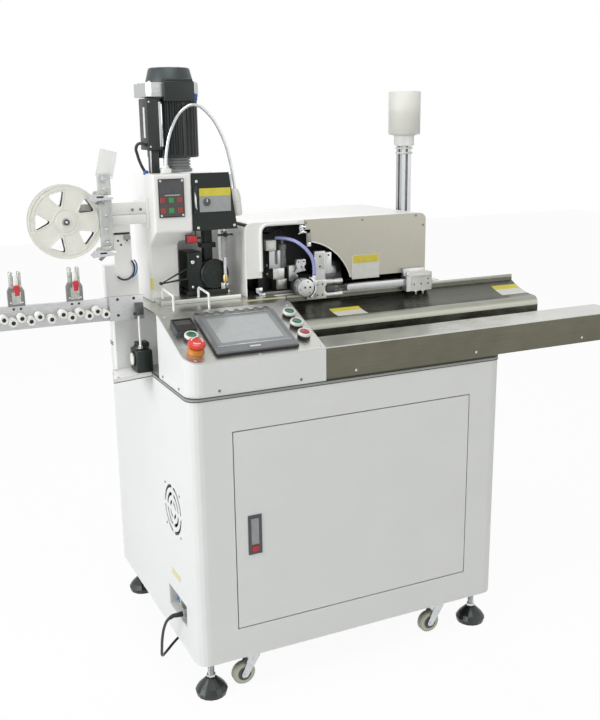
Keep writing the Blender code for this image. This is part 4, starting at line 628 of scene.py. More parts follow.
def clear_plastic(name, chart, weight, roughness, wave=0.3):
    clear = Finish(name, chart, 0.0, roughness, IOR=1.49, Transmission_Weight=weight)
    waves = clear.noise(1 / (FLOW_WAVE * MM), 2.0)
    clear.polish(waves, roughness, roughness + 0.08)
    return clear.relief(waves, 0.05, wave)


CLEAR_GUIDE = clear_plastic("polycarbonate_clear", "#F3F4F1", 0.6, 0.14)
CLEAR_JAR = clear_plastic("polyethylene_jar", "#FAFAF6", 0.5, 0.4, 0.05)
SMOKY_COVER = clear_plastic("smoky_acrylic", "#6E7272", 0.55, 0.2)
BLUE_HOSE = clear_plastic("polyurethane_hose_blue", "#B2B8EE", 0.35, 0.16)
FLUX = moulded("flux_paste", "#F8F4DC", "#F4EFD2", 0.35)
SCREEN_EDGE = moulded("screen_edge_glass", "#8B8F8F", "#878B8B", 0.2, 2.0, 0.1)
SCREEN_GLASS = moulded("screen_glass", "#A9AEAE", "#A6ABAB", 0.16, 2.0, 0.1,
                       Coat_Weight=1.0, Coat_Roughness=0.03)
print("clear parts", CLEAR_GUIDE.name, BLUE_HOSE.name)

# %% [markdown]
# ## Studio
# The photo is a cut-out on white with a weak shadow under the machine. A large pale floor
# catches that shadow. What the lens and the metal see of the surroundings is plain white, but
# the light that falls on the machine comes from one dim sky and four large soft lamps.
# The strongest lamp stands on the left, so the left wall is the brightest.

# %% Floor, sky and lamps
SKY_LIGHT = 0.40
FLOOR_WHITE = 0.95
FLOOR_HALF = 9


def white_for_the_lens(tree, shader, kind, share):
    """Mixes plain white in for rays that come from the lens, a gloss or a clear part."""
    path = add_node(tree, "ShaderNodeLightPath").outputs
    lens = add_node(tree, "ShaderNodeMath", operation="MAXIMUM",
                    links={0: path["Is Camera Ray"], 1: path["Is Glossy Ray"]})
    seen = add_node(tree, "ShaderNodeMath", operation="MAXIMUM",
                    links={0: lens.outputs[0], 1: path["Is Transmission Ray"]})
    part = add_node(tree, "ShaderNodeMath", {1: share}, {0: seen.outputs[0]},
                    operation="MULTIPLY")
    white = add_node(tree, kind, {"Color": (1, 1, 1, 1), "Strength": 1.0})
    mixed = add_node(tree, "ShaderNodeMixShader", links={
        0: part.outputs[0], 1: shader.outputs[0], 2: white.outputs[0]})
    return mixed.outputs[0]


def make_floor():
    ground = Finish("studio_floor", "#F2F2F1", 0.0, 0.85, IOR=1.45)
    ground.tint(ground.noise(40.0, 3.0), "#F0F0EF", "#F5F5F4", 0.3, 0.7)
    mixed = white_for_the_lens(ground.tree, ground.shader, "ShaderNodeEmission", FLOOR_WHITE)
    ground.tree.links.new(mixed, ground.tree.nodes["Material Output"].inputs["Surface"])
    mesh = bpy.data.meshes.new("floor")
    mesh.from_pydata([(x * FLOOR_HALF, y * FLOOR_HALF, 0)
                      for x, y in ((-1, -1), (1, -1), (1, 1), (-1, 1))], [], [(0, 1, 2, 3)])
    mesh.materials.append(ground.material)
    floor = bpy.data.objects.new("floor", mesh)
    bpy.context.collection.objects.link(floor)


def make_sky():
    world = bpy.data.worlds.new("sky")
    world.use_nodes = True
    bpy.context.scene.world = world
    sky = world.node_tree.nodes["Background"]
    sky.inputs["Color"].default_value = linear("#F4F6F8")
    sky.inputs["Strength"].default_value = SKY_LIGHT
    mixed = white_for_the_lens(world.node_tree, sky, "ShaderNodeBackground", 1.0)
    world.node_tree.links.new(mixed, world.node_tree.nodes["World Output"].inputs["Surface"])


def soft_lamp(name, place, aim, size, power, chart="#FFFFFF"):
    lamp = bpy.data.lights.new(name, "AREA")
    lamp.shape, lamp.size, lamp.energy = "DISK", size, power
    lamp.color = linear(chart)[:3]
    stand = bpy.data.objects.new(name, lamp)
    stand.location = place
    stand.rotation_euler = (Vector(aim) - Vector(place)).to_track_quat("-Z", "Y").to_euler()
    bpy.context.collection.objects.link(stand)


make_floor()
make_sky()
soft_lamp("lamp_left", (-3.4, -0.7, 1.9), (0, 0, 0.7), 2.4, 74, "#FBFDFF")
soft_lamp("lamp_above", (-0.6, -1.3, 3.6), (0, 0, 0.8), 2.0, 34, "#FFFEFA")
soft_lamp("lamp_front_right", (2.4, -3.0, 1.8), (0.1, 0, 0.7), 2.4, 15, "#FFFDF8")
soft_lamp("lamp_behind", (0.8, 2.6, 2.8), (0, 0, 0.9), 2.2, 20)
bpy.context.scene.view_settings.view_transform = "Standard"
print("sky", SKY_LIGHT, "floor", FLOOR_WHITE, "lamps", len(bpy.data.lights))

# %% [markdown]
# ## The mains lead
# A 7 mm rubber-jacketed lead, 1.8 m long, leaves the inlet in the left wall. It drops to the
# floor, runs under the cabinet to the back and ends in a coil with its plug beside it. A curve
# gives it one smooth centreline, and the coil is worked out turn by turn, so the turns lie on
# each other and not in each other.

# %% Route of the mains lead
LEAD = 7.0
FLOOR_LINE = -92.5
COIL_MIDDLE = (470.0, 770.0)
COIL_INNER, COIL_OUTER = 33.9, 41.0
COIL_TURNS, COIL_STEPS = 3.25, 14
CURVE_STEPS, ROUND_STEPS = 6, 4
LEAD_START = (-10.3, 104.0, 92.0)
LEAD_DROP = [(-17, 104, 92), (-26, 108, 90), (-34, 122, 76), (-38, 142, 48), (-38, 165, 8),
             (-34, 190, -38), (-26, 218, -76), (-8, 250, -91)]
LEAD_ON_FLOOR = [(30, 292), (80, 338), (140, 392), (205, 450), (270, 515), (318, 600), (350, 668),
                 (392, 712), (432, 727), (COIL_MIDDLE[0], COIL_MIDDLE[1] - COIL_OUTER)]
LEAD_END = [(511.0, 786.0, -85.2), (506.0, 806.0, -85.0), (494.0, 821.0, -85.0),
            (478.0, 828.0, -85.0), (470.0, 828.5, -85.0)]


def ease(value, low, high):
    """0 below low, 1 above high, and a soft step between."""
    part = min(1, max(0, (value - low) / (high - low)))
    return part * part * (3 - 2 * part)


def coil_points():
    """Outer turn and inner turn on the floor, then an inner and an outer one on top."""
    points = []
    for i in range(1, int(COIL_TURNS * COIL_STEPS) + 1):
        turn = i / COIL_STEPS
        inward = ease(turn, 0.72, 1.0) - ease(turn, 2.75, 3.0)
        radius = COIL_OUTER + (COIL_INNER - COIL_OUTER) * inward
        points.append((*polar(COIL_MIDDLE, radius, -90 + 360 * turn),
                       FLOOR_LINE + LEAD * ease(turn, 1.72, 2.0)))
    return points


def to_metres(points, surface):
    return [surface @ (Vector(p) * MM) for p in points]


def line_length(points):
    return sum((Vector(b) - Vector(a)).length for a, b in zip(points, points[1:]))


def cord_curve(name, points, radius, finish):
    """A round cord as one open curve through its points."""
    curve = bpy.data.curves.new(name, "CURVE")
    curve.dimensions = "3D"
    spline = curve.splines.new("BEZIER")
    spline.bezier_points.add(len(points) - 1)
    for knot, point in zip(spline.bezier_points, points):
        knot.co = point
        knot.handle_left_type = knot.handle_right_type = "AUTO"
    spline.resolution_u = CURVE_STEPS
    curve.bevel_depth, curve.bevel_resolution = radius, ROUND_STEPS
    curve.use_fill_caps = True
    curve.materials.append(finish)
    cord = bpy.data.objects.new(name, curve)
    bpy.context.collection.objects.link(cord)
    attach(cord, "machine")
    return cord


def small_cable(name, points, radius, finish):
    """A short cable between two fittings on the worktop, made as a cord."""
    line = to_metres(points, TABLE)
    cable = cord_curve(name, line, radius * MM, finish)


# %% Lead, plug and strain relief
LEAD_LINE = to_metres([LEAD_START, *LEAD_DROP, *[(x, y, FLOOR_LINE) for x, y in LEAD_ON_FLOOR],
                       *coil_points(), *LEAD_END], CORNER)
lead = cord_curve("mains_lead", LEAD_LINE, LEAD / 2 * MM, CABLE_JACKET)
plug = place_piece("mains_plug", CORNER, {
    BLACK_RUBBER: [turned([(0, 0), (4.6, 0), (5.4, 6), (8.5, 12), (0, 12)], 20, "x",
                          (458.0, 828.5, -85.0)),
                   box((428, 817, -95.8), (459, 840, -74.2), 3.0, 3)],
    CHROME: [*discs([(823.0, -85.0), (834.0, -85.0)], 2.4, 410, 429, 0.6, 16, "x"),
             box((412, 826.9, -78), (428.5, 830.1, -76.2), 0.2, 1)]})
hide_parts("mains_cord", "mains_coil")

# %% [markdown]
# ## The air hose at the cutter
# A 9 mm blue hose carries air from the cutter's cylinder down to the nozzle on the swinging
# arm. The real hose bends when the arm swings; here it is one mesh tube along a fixed line.

# %% Air hose
HOSE = 8.8
HOSE_LINE = smooth_line(to_metres([
    (352.5, 320, 140), (359, 319.4, 140.3), (366, 317.5, 140.3), (374, 312, 139.6),
    (383, 302, 138), (393, 290, 134.5), (401, 280, 129), (408, 272, 122), (414.5, 265.5, 114.5),
    (420, 260.8, 106), (425, 258.3, 98), (428.5, 257.5, 90), (431, 257.5, 82),
    (432.5, 257.5, 74), (433, 257.5, 60), (433, 257.5, 48.5)], TABLE), 3)
hose = new_object("air_hose", tube(HOSE_LINE, HOSE / 2 * MM, 16), [BLUE_HOSE])
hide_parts("guide_hose")
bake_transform(hose)
print("air hose", round(line_length(HOSE_LINE), 3), "m")

# %% [markdown]
# ## Finishes for the solids that stay
# Many CAD solids already have the right shape. Each keeps its mesh and gets its real finish on
# the slots that the source gave it. The dictionary below reads like a paint order: one line
# for each finish.

# %% Finish of each solid that stays
PAINT_ORDER = {
    WHITE_CABINET: ["cabinet_shell", "door", "upper_body"],
    WHITE_CASTING: ["housing_cover", "press_frame", "feed_panel", "table_handle_left",
                    "table_handle_right"],
    STAINLESS_TOP: ["worktop"], STAINLESS_PANEL: ["housing_panel"], ZINC: ["control_gear"],
    BLACK_STEEL: ["press_cover", "press_ram"], MILLED_UPRIGHT: ["flux_post"],
    FOOT_RUBBER: ["foot_frame"], BLACK_PLASTIC: ["fan_frame", "fan_rotor"],
    PALE_PLASTIC: ["power_inlet"], DARK_PLASTIC: ["latch_frame"], GREY_PLASTIC: ["latch_lever"],
    RED_SWITCH: ["latch_button"],
    CHROME: [name for name in NODES if name.startswith("caster_fork")],
    GREY_TYRE: [name for name in NODES if name.startswith("caster_wheel")],
}


def paint(name, finish):
    """Puts one finish on every slot of a CAD solid."""
    mesh = NODES[name].data
    if not mesh.materials:
        mesh.materials.append(finish)
    for i in range(len(mesh.materials)):
        mesh.materials[i] = finish


for finish, names in PAINT_ORDER.items():
    for name in names:
        paint(name, finish)
print("solids painted", sum(len(names) for names in PAINT_ORDER.values()), "of", len(NODES))

# %% [markdown]
# ## Feet, casters, fan and inlet
# The machine stands on four rubber feet with a threaded stem and a lock nut, and rolls on four
# casters when the feet are turned up. The stems are cut threads, so each one is turned with its
# ridges. The lead leaves through a gland with a tapered rubber sleeve, which keeps it from
# breaking where it bends.

# %% Feet and casters
WIDE, DEEP, FOOT_INSET = 834, 661, 41
STEM_FOOT, RIDGES, RIDGE_PITCH = -51.9, 22, 2.0
RIDGE = [(7.2, 0), (8.0, 0.7), (8.0, 1.1), (7.2, 1.8)]
STEM = [(0, STEM_FOOT), *ribs(STEM_FOOT, RIDGES, RIDGE_PITCH, RIDGE), (0, -8)]
place_piece("foot_stems", CORNER, {CHROME: [
    part for y in (FOOT_INSET, DEEP - FOOT_INSET) for x in (FOOT_INSET, WIDE - FOOT_INSET)
    for part in (prism(hexagon((x, y), 11.5), -52, -45, "xy", 0.8),
                 turned(STEM, 20, "z", (x, y, 0)))]})


def node_box(name):
    """The corners of a CAD solid's box in millimetres."""
    return [[value / MM for value in corner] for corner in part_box(name)]


def make_caster(corner):
    """Hub caps and axle nuts of one wheel, and the ring of its swivel."""
    low, high = node_box("caster_wheel_" + corner)
    x, y, z = [(a + b) / 2 for a, b in zip(low, high)]
    hub = {DARK_PLASTIC: [], CHROME: []}
    for side in (-1, 1):
        face = y + side * (high[1] - low[1]) / 2
        cap = sorted((face - side * 0.4, face + side * 0.9))
        hub[DARK_PLASTIC].append(disc(17.0, *cap, 0.4, 28, "y", (x, z)))
        nut = sorted((face, face + side * 2.4))
        hub[CHROME].append(prism(hexagon((x, z), 5.2), *nut, "xz", 0.5))
    place_piece("caster_hub_" + corner, WHOLE_FRAME, hub, "caster_wheel_" + corner)
    low, high = node_box("caster_fork_" + corner)
    top = high[2]
    swivel = turned([(0, top - 9.5), (15, top - 9.5), (17.5, top - 8), (18, top - 5),
                     (16, top - 2.6), (0, top - 2.6)], 28, "z",
                    (high[0] - 17.0, (low[1] + high[1]) / 2, 0))
    place_piece("caster_swivel_" + corner, WHOLE_FRAME, {CHROME: [swivel]}, "caster_fork_" + corner)


for side in ("left", "right"):
    for end in ("front", "rear"):
        make_caster(end + "_" + side)

# %% Fittings of the left wall
FAN_MIDDLE, FAN_HALF_PITCH = (150, 342), 52.5
FAN_SCREWS = [(FAN_MIDDLE[0] + a, FAN_MIDDLE[1] + b) for a in (-FAN_HALF_PITCH, FAN_HALF_PITCH)
              for b in (-FAN_HALF_PITCH, FAN_HALF_PITCH)]
place_piece("wall_screws", CORNER, {
    BLACK_PLASTIC: discs(FAN_SCREWS, 3.4, -0.5, 0.1, 0.2, 16, "x"),
    DARK_MILLED: discs(FAN_SCREWS, 2.0, -0.9, -0.4, 0.2, 12, "x")})
place_piece("inlet_parts", CORNER, {
    PALE_PLASTIC: [box((22, 84, 69), (44, 208, 70.5), 0.5),
                   box((15, 176, 72), (34, 200, 104), 1.5)],
    DARK_PLASTIC: [box((18, 140, 70), (40, 170, 96), 1.2)],
    BLUE_PLASTIC: [box((13.4, 180, 78), (16, 196, 98), 0.8)],
    CHROME: discs([(188, 82), (188, 93)], 2.2, 12.4, 14, 0.4, 12, "x"),
    GREY_PLASTIC: [turned([(0, 0), (10.5, 0), (11.0, 1), (11.0, 9), (8.5, 12), (0, 12)], 6, "x",
                          (-2, 104, 92))]})
SLEEVE = smooth_line([(-3, 104, 92), (-10, 104, 92), (-17, 104, 92), (-26, 108, 90),
                      (-31.5, 116, 81.5)], 5)
place_piece("lead_sleeve", CORNER, {BLACK_RUBBER: [
    tube(SLEEVE, [6.6 - 2.4 * i / (len(SLEEVE) - 1) + 0.35 * (i % 2)
                  for i in range(len(SLEEVE))], 18)]})

# %% Deck with painted shadow lines along its edges, and the ear under the wire feed
DECK_RADII, INNER_RADII = (30, 30, 8, 8), (27, 27, 5, 5)


def deck_outline(out, radii):
    """The deck's outline, moved out by some millimetres."""
    return rounded((-out, -out), (WIDE + out, DEEP + out), radii, 6)


PAINTED_SHADOW_LINES = deck_outline(1.1, DECK_RADII), deck_outline(-3, INNER_RADII)
place_piece("deck", DECK, {
    GREY_DECK: [prism(deck_outline(0.5, DECK_RADII)
                      + [(-0.5, 334), (-78, 334), (-100, 240), (-0.5, 263)],
                      -8, 0, "xy", flat=True)],
    WHITE_CASTING: [
        prism([(-99.9, 239.2), (-1.2, 262.2), (-1.2, 264), (-98, 241.5), (-76.5, 334),
               (-78.6, 334)], -7.2, 0.2, "xy", flat=True),
        prism([(-0.8, 331), (-76.5, 331), (-97.5, 243), (-0.8, 266)], -0.5, 1.2, "xy", 0.3)],
    # dark strip under the ear and dark rings at the deck's lower and upper edges: painted shadow
    # lines
    DARK_COAT_AND_SHADE: [prism([(-100.4, 238.4), (-0.8, 261.4), (-0.8, 270), (-70, 334.4), (-78.9, 334.4)],
                      -8.5, -6.9, "xy", flat=True),
                ring(*PAINTED_SHADOW_LINES, -8.6, -7.0), ring(*PAINTED_SHADOW_LINES, -1.6, 0.4)],
    CHROME: screws([(-86, 252, 1.0), (-72, 322, 1.0), (-14, 272, 1.0)], 4.2)},
    replaces="deck_plate")

# %% Long rail: one stainless sheet, its front painted darker with shade than its top
RAIL_LEFT, RAIL_RIGHT = 334.3, 1225
place_piece("long_rail", DECK, {
    STAINLESS_RAIL_SHADED: [prism([(0, 5.5), (30, 5.5), (30, 8), (2.5, 8), (2.5, 76.4), (0, 76.4)],
                           RAIL_LEFT, RAIL_RIGHT, "yz", flat=True),
                     box((338, 4, 0.3), (822, 27, 6.5))],
    STAINLESS_TOP: [prism([(0, 76.4), (102.5, 76.4), (102.5, 65), (105, 65), (105, 79), (0, 79)],
                          RAIL_LEFT, RAIL_RIGHT, "yz", flat=True)]}, replaces="front_rail")

# %% [markdown]
# ## The console
# The console's slope carries a 7 inch touch panel in a grey housing with bevelled edges, a small
# counter, four push buttons of the 22 mm kind and the emergency stop. The bezels and caps are
# turned shapes, because their rounded shoulders catch the light. Arrows, words and numbers of
# the real ones are left out.

# %% Touch panel and counter
place_piece("touch_panel", SLOPE, {
    BLACK_PLASTIC: [box((74, 15, 0.3), (273, 173, 6.4), 1.6)],
    SCREEN_HOUSING: [
        ring(rounded((74.6, 15.6), (272.4, 172.4), 5), rounded((90, 37), (257, 161), 3), 6.0, 9.0),
        ring(rounded((78, 19), (269, 169), 4), rounded((86, 40), (261, 162), 3), 8.9, 10.2)],
    SCREEN_EDGE: [box((85, 39, 7.0), (262, 163, 9.6), 0.2, 1)],
    SCREEN_GLASS: [box((98, 52, 9.5), (249, 153, 9.9), 0.1, 1)],
    # two bright strips at the screen's bottom and top edges: painted highlights on the housing's
    # chamfers
    CHROME: [box((84, 37.6, 9.8), (263, 40.2, 10.9), 0.4),
             box((140, 163.0, 9.8), (263, 165.0, 10.9), 0.4)],
    GREY_PLASTIC: [ring(rounded((76.5, 17.5), (270.5, 170.5), 5),
                        rounded((78.2, 19.2), (268.8, 168.8), 4), 8.8, 9.9)],
    BARE_PLATE: [box((156, 25.0, 10.0), (182, 30.0, 10.45), 0.15, 1)]}, replaces="touch_screen")
place_piece("fold_strip", SLOPE, {DARK_MILLED: [
    box((80, 187, 0.2), (272, 191, 1.6), 0.4),
    *discs([(x, 190) for x in range(88, 264, 25)], 7.5, 0.2, 2.8, 1.2, 20, "z")]})
place_piece("console_screws", SLOPE, {CHROME: screws(
    [(13, 196, 0.1), (24, 12, 0.1), (174, 8, 0.1), (322, 10, 0.1), (322, 196, 0.1)],
    3.0, "z", 1.3)})
place_piece("counter", SLOPE, {
    DARK_PLASTIC: [box((12, 108, 0.3), (61, 156, 15.5), 1.2)],
    BLACK_PLASTIC: [ring(rounded((12.4, 108.4), (60.6, 155.6), 2.5),
                         rounded((16, 127), (57, 151.5), 1), 15.2, 17.6),
                    *[box((x, 115, 15.2), (x + 7, 121, 17.6), 0.8)
                      for x in (18.5, 28.1, 37.7, 47.3)]],
    SMOKED_WINDOW_AND_HOLE_SHADE: [box((15.5, 126.5, 15.0), (57.5, 152, 16.6), 0.3, 1)],
    KEYPAD_DARK: [box((18, 130, 16.4), (55, 149, 16.9), 0.1, 1)],
    KEY_GREEN: [box((12.6, 110, 14.6), (60.4, 112.4, 15.9), 0.3, 1)]}, replaces="counter_meter")

# %% Push buttons and emergency stop
BUTTONS = {"start_button": (41, 92), "feed_button": (304, 146), "test_button": (303, 99.5),
           "stop_button": (301.5, 53)}
STOP, ARROW = (36, 44), 78
BEZEL = [(11.7, 8.6), (15.6, 8.6), (16.2, 9.6), (16.1, 13.4), (15.0, 15.2), (12.6, 15.6),
         (11.7, 15.0), (11.7, 8.6)]
CAP = [(0, 5.2), (10.9, 5.2), (11.2, 6), (11.2, 14.2), (10.6, 15.2), (8.5, 16.0), (0, 16.3)]
place_piece("button_bezels", SLOPE, {
    BLACK_PLASTIC: [disc(15.0, 0.25, 9.4, 0.6, 36, "z", spot, 6.0) for spot in BUTTONS.values()]
    + discs(BUTTONS.values(), 11.8, -20, 1.6, 0.5, 24, "z") + [
        disc(14, -20, 1.8, 0.5, 24, "z", STOP)],
    WHITE_PLASTIC: [turned(BEZEL, 36, "z", (*spot, 0)) for spot in BUTTONS.values()],
    YELLOW_COLLAR: [turned([(0, 0.25), (18.6, 0.25), (18.8, 2.2), (18.0, 3.4), (17.0, 11.0),
                            (16.0, 12.0), (10.4, 12.0), (10.4, 2.0)], 40, "z", (*STOP, 0))]},
    replaces="button_rings")
for name, spot in BUTTONS.items():
    place_piece(name + "_cap", SLOPE, {RED_CAP if name == "stop_button" else GREEN_CAP: [
        turned(CAP, 36, "z", (*spot, 0))]}, name, replaces=name)
place_piece("emergency_stop_head", SLOPE, {
    STOP_RED: [turned([(0, 7.4), (9.6, 7.4), (9.8, 17.4), (12.5, 17.6), (18.6, 17.8),
                       (20.0, 19.0), (20.0, 22.6), (18.6, 26.4), (15.0, 28.8), (10.5, 29.6),
                       (0, 29.8)], 44, "z", (*STOP, 0))],
    WHITE_PLASTIC: [prism(arc(STOP, 13.6, turn, turn + ARROW, 8)
                          + arc(STOP, 10.8, turn + ARROW, turn, 8), 28.0, 29.75, "xy", 0.2, 1)
                    for turn in (90, 210, 330)]},
    "emergency_stop", replaces="emergency_stop")

# %% [markdown]
# ## The press: motor, cover, keypad and tools
# The press is a cast column with a head. On top sits a geared motor: a finned black body, a
# square end shield of bare aluminium and a fan cowl. The shield has a black terminal box in
# front. A brake box hangs on its left side with its own cable. The parts overlap like the real
# ones, so that each edge throws its own small shadow.

# %% Motor
MOTOR = (118, 390)
x, y = MOTOR
COWL = (x - 2, y, 0)
COWL_SLOTS = 10


def fins(middle, inner, outer, count):
    """The outline of a finned motor body."""
    return [polar(middle, radius, 360 / count * (i + share)) for i in range(count)
            for share, radius in ((0.0, inner), (0.18, outer), (0.5, outer), (0.68, inner))]


place_piece("motor", TABLE, {
    BLACK_ENAMEL: [prism(fins(MOTOR, 58.5, 62, 30), 347, 488, "xy", 0.6, 1),
                   disc(61.5, 345, 352, 1.2, 48, "z", MOTOR),
                   disc(61.5, 478, 486, 1.2, 48, "z", MOTOR),
                   box((79, 318, 474), (154, 346, 520.5), 2.5, 3),
                   box((84, 318.4, 519), (150, 344, 526), 2.5, 3)],
    MILLED_ALUMINIUM: [prism([(x - 76, y - 50), (x - 66, y - 60), (x + 42, y - 60),
                              (x + 52, y - 50), (x + 52, y + 48), (x + 42, y + 58),
                              (x - 66, y + 58), (x - 76, y + 48)], 485, 517.5, "xy", 1.8)],
    CHROME: screws([(x - 67, y - 51, 517), (x + 43, y - 51, 517), (x + 43, y + 49, 517),
                    (x - 67, y + 49, 517)], 4.0, "z", 3.5)
    + [box((68, 332.6, 372), (76.5, 335, 474), 0.5), box((45.2, 341.2, 312), (48.2, 344, 364), 0.4)]
    + screws([(46, 333.8, 372), (46, 333.8, 474)], 2.2, "-y", 1.0),
    GREY_ENAMEL: [turned([(0, 516), (57, 516), (57.5, 518), (56.5, 522), (49.5, 549), (47.5, 552),
                          (44, 553), (20, 553.3), (0, 552)], 44, "z", COWL)],
    DARK_PLASTIC: [moved(box((24, -1.6, 552.2), (42, 1.6, 553.6), 0.5), Matrix.Translation(COWL)
                         @ Matrix.Rotation(math.tau * i / COWL_SLOTS, 4, "Z"))
                   for i in range(COWL_SLOTS)],
    BLUE_PLASTIC: [box((154, 325, 476), (163, 341, 492), 1.5)],
    BLACK_PLASTIC: [box((40, 334, 364), (76, 398, 482), 2.2, 3),
                    box((46, 342, 310.4), (68, 362, 366), 1.5)],
    BARE_PLATE: [box((38.8, 350, 392), (40.3, 362, 462), 0.3, 1)],
    GREY_PLASTIC: [
        disc(43, 310.4, 318.5, 1.0, 40, "z", (121, 392)),
        turned([(0, 318), *ribs(318.5, 4, 7, [(33, 0), (33, 4.4), (29.5, 5), (29.5, 6.6)]),
                (31, 347), (0, 347)], 36, "z", (126, 388, 0))]}, replaces="press_motor")
small_cable("brake_cable", [(50, 352, 366), (38, 348, 376), (24, 350, 380), (17, 356, 372),
                            (21, 362, 352), (27, 362, 333), (34, 361, 318), (38, 360, 311)],
            3.6, CABLE_JACKET)
place_piece("cable_glands", TABLE, {
    BLUE_PLASTIC: [turned([(0, -2), (6, -2), (6.4, 0), (6.4, 5), (4.4, 8), (0, 8)], 14, "z",
                          (38.0, 360.0, 309))],
    BLACK_PLASTIC: [turned([(0, 0), (6.6, 0), (6.6, 6), (5, 9), (0, 9)], 6, "z",
                           (50, 352, 362))]})

# %% Press head: cover, keypad, switch and bolster
QUARTER_TURN = Matrix.Rotation(math.pi / 2, 4, "X")
HALF_KEY = 5.8
UPPER_KEYS, LOWER_KEYS = 1056, 1032
place_piece("cover_plates", CORNER, {
    WHITE_PLASTIC: screws([(140, 292.1, 1097), (234, 292.1, 989), (141, 292.1, 987)], 3.4, "-y")
    + [box((163, 286.2, 1048), (165, 287.6, 1055), 0.3)],
    BLACK_ENAMEL: [box((131, 288.6, 1020), (140.5, 292.4, 1086), 0.8)],
    CHROME: [prism([(133.2, 1074), (132.6, 1052), (134.6, 1036), (138.6, 1030), (137.4, 1042),
                    (137.0, 1060)], 287.6, 288.9, "xz", 0.3)],
    GREY_PLATE: [box((146, 291.2, 1024), (226, 292.4, 1061), 0.2, 1)],
    YELLOW_PLATE: [box((146, 291.2, 1061.2), (226, 292.4, 1080), 0.2, 1)],
    DARK_PLASTIC: [moved(turned([(0, -2), (8.4, -2), (9, -1), (9, 2.6), (7.6, 4.0), (0, 4.2)], 28),
                         Matrix.Translation((164, 291, 1048)) @ QUARTER_TURN)]})


def key(x, z):
    return box((x - HALF_KEY, 288.0, z - HALF_KEY), (x + HALF_KEY, 289.6, z + HALF_KEY), 0.5, 1)


place_piece("keypad", CORNER, {
    BLACK_PLASTIC: [box((45.2, 289.0, 1015.6), (108.2, 291.9, 1105.6), 1.2)],
    KEYPAD_DARK: [box((48, 288.5, 1018.5), (105.5, 289.4, 1102.5), 0.3, 1)],
    DARK_PLASTIC: [box((54, 288.0, 1072), (100, 288.8, 1096), 0.2, 1)],
    GREY_PLATE: [box((60, 287.8, 1066), (98, 288.8, 1069), 0.2, 1)],
    KEY_RED: [key(x, z) for z in (UPPER_KEYS, LOWER_KEYS) for x in (54.5, 97)],
    KEY_GREEN: [key(75.5, z) for z in (UPPER_KEYS, LOWER_KEYS)],
    WHITE_PLASTIC: screws([(x, 288.8, z) for x in (50.4, 103.4) for z in (1020.6, 1101.0)],
                          2.6, "-y", 1.2)}, replaces="keypad_panel")
place_piece("red_switch", TABLE, {
    RED_SWITCH: [box((110.4, 293.4, 145.3), (138, 303.4, 164), 1.6)],
    RED_CAP: [box((113, 291.6, 148), (122, 294, 161), 0.8)],
    BLACK_STEEL: [tube([(138, 298, 156), (146, 297, 157), (150, 296, 152), (148, 296, 145),
                        (143, 296, 143)], 2.2)]})
place_piece("bolster_plate", TABLE, {
    STAINLESS_TOP: [box((38.4, 289.4, 0.3), (245.6, 463, 11.0), 0.6)]})

# %% Gooseneck lamp and oil dropper
NECK = smooth_line([(x, 310, z) for x, z in (
    (72.5, 322), (73, 330), (74.5, 352), (81.6, 388), (93.3, 419), (110.6, 447), (135.8, 465),
    (156, 465), (172.6, 456), (196.7, 430), (215.8, 395), (227.6, 363), (236.6, 324),
    (243.1, 283), (245, 264))], 9)
LAMP_HEAD = Matrix.Translation((244.8, 310, 262)) @ Matrix.Rotation(math.radians(-5), 4, "Y")
place_piece("gooseneck_lamp", TABLE, {
    CHROME: [tube(NECK, [3.9 if i % 2 else 3.5 for i in range(len(NECK))], 16)],
    WHITE_CASTING: [box((62, 300, 310.4), (83, 320.5, 322), 1.6)],
    WHITE_PLASTIC: [
        turned([(0, 320), (7.5, 320), (8, 322), (6.6, 327), (4.6, 330), (0, 330)], 24, "z",
               (72.5, 310, 0)),
        moved(turned([(0, 8.4), (5.4, 8), (8.6, 4), (10.8, -3), (12.4, -14), (12.7, -24),
                      (12.7, -25), (12.1, -25.6), (12.1, -28.4), (12.7, -29), (12.8, -50),
                      (12.0, -56.5), (10.6, -58), (9.6, -57.6), (8.8, -52), (0, -52)], 36),
              LAMP_HEAD)],
    SCREEN_GLASS: [moved(disc(8.6, -53.4, -51.6, 0.3, 24), LAMP_HEAD)]}, replaces="work_lamp")
DROPPER = (211, 306, 0)
place_piece("dropper", TABLE, {
    GREY_PLASTIC: [turned(
        [(0, 104.6), (7.4, 104.6), (7.9, 106),
         *ribs(108, 9, 6.4, [(8.2, 0), (8.2, 3.4), (7.0, 4.2), (7.0, 5.8)]),
         (8.2, 166), (7.2, 168.4), (0, 168.4)], 28, "z", DROPPER)],
    CHROME: [turned([(0, low), (radius, low), (radius, high), (0, high)], 18, "z", DROPPER)
             for radius, low, high in ((4, 168, 178.6), (4.4, 60, 105))],
    BRASS: [turned([(0, 37), (1.6, 37), (2.4, 39), (4.4, 43.4), (6.4, 45), (6.5, 57), (5.4, 60.5),
                    (0, 60.5)], 18, "z", DROPPER)],
    BLACK_STEEL: [
        moved(turned([(0, 0), (5, 0), (5.4, 1), (5.4, 14), (4.2, 16), (0, 16)], 18),
              Matrix.Translation((211, 306, 160)) @ QUARTER_TURN),
        tube([(194, 296, 160), (228, 296, 160)], 2.3, 14),
        *[turned([(0, -3), (2.4, -2.4), (3.2, 0), (2.4, 2.4), (0, 3)], 14, "x", (x, 296, 160))
          for x in (194, 228)]]}, replaces="oil_dropper")

# %% [markdown]
# ## The crimping tool
# The applicator is the exchangeable tool that presses the terminal. Its block is blackened
# steel with ground faces, a feed disc, a lever and many small bright parts. Wear shows first
# on the edges, so the small parts are chrome and the block is dark.

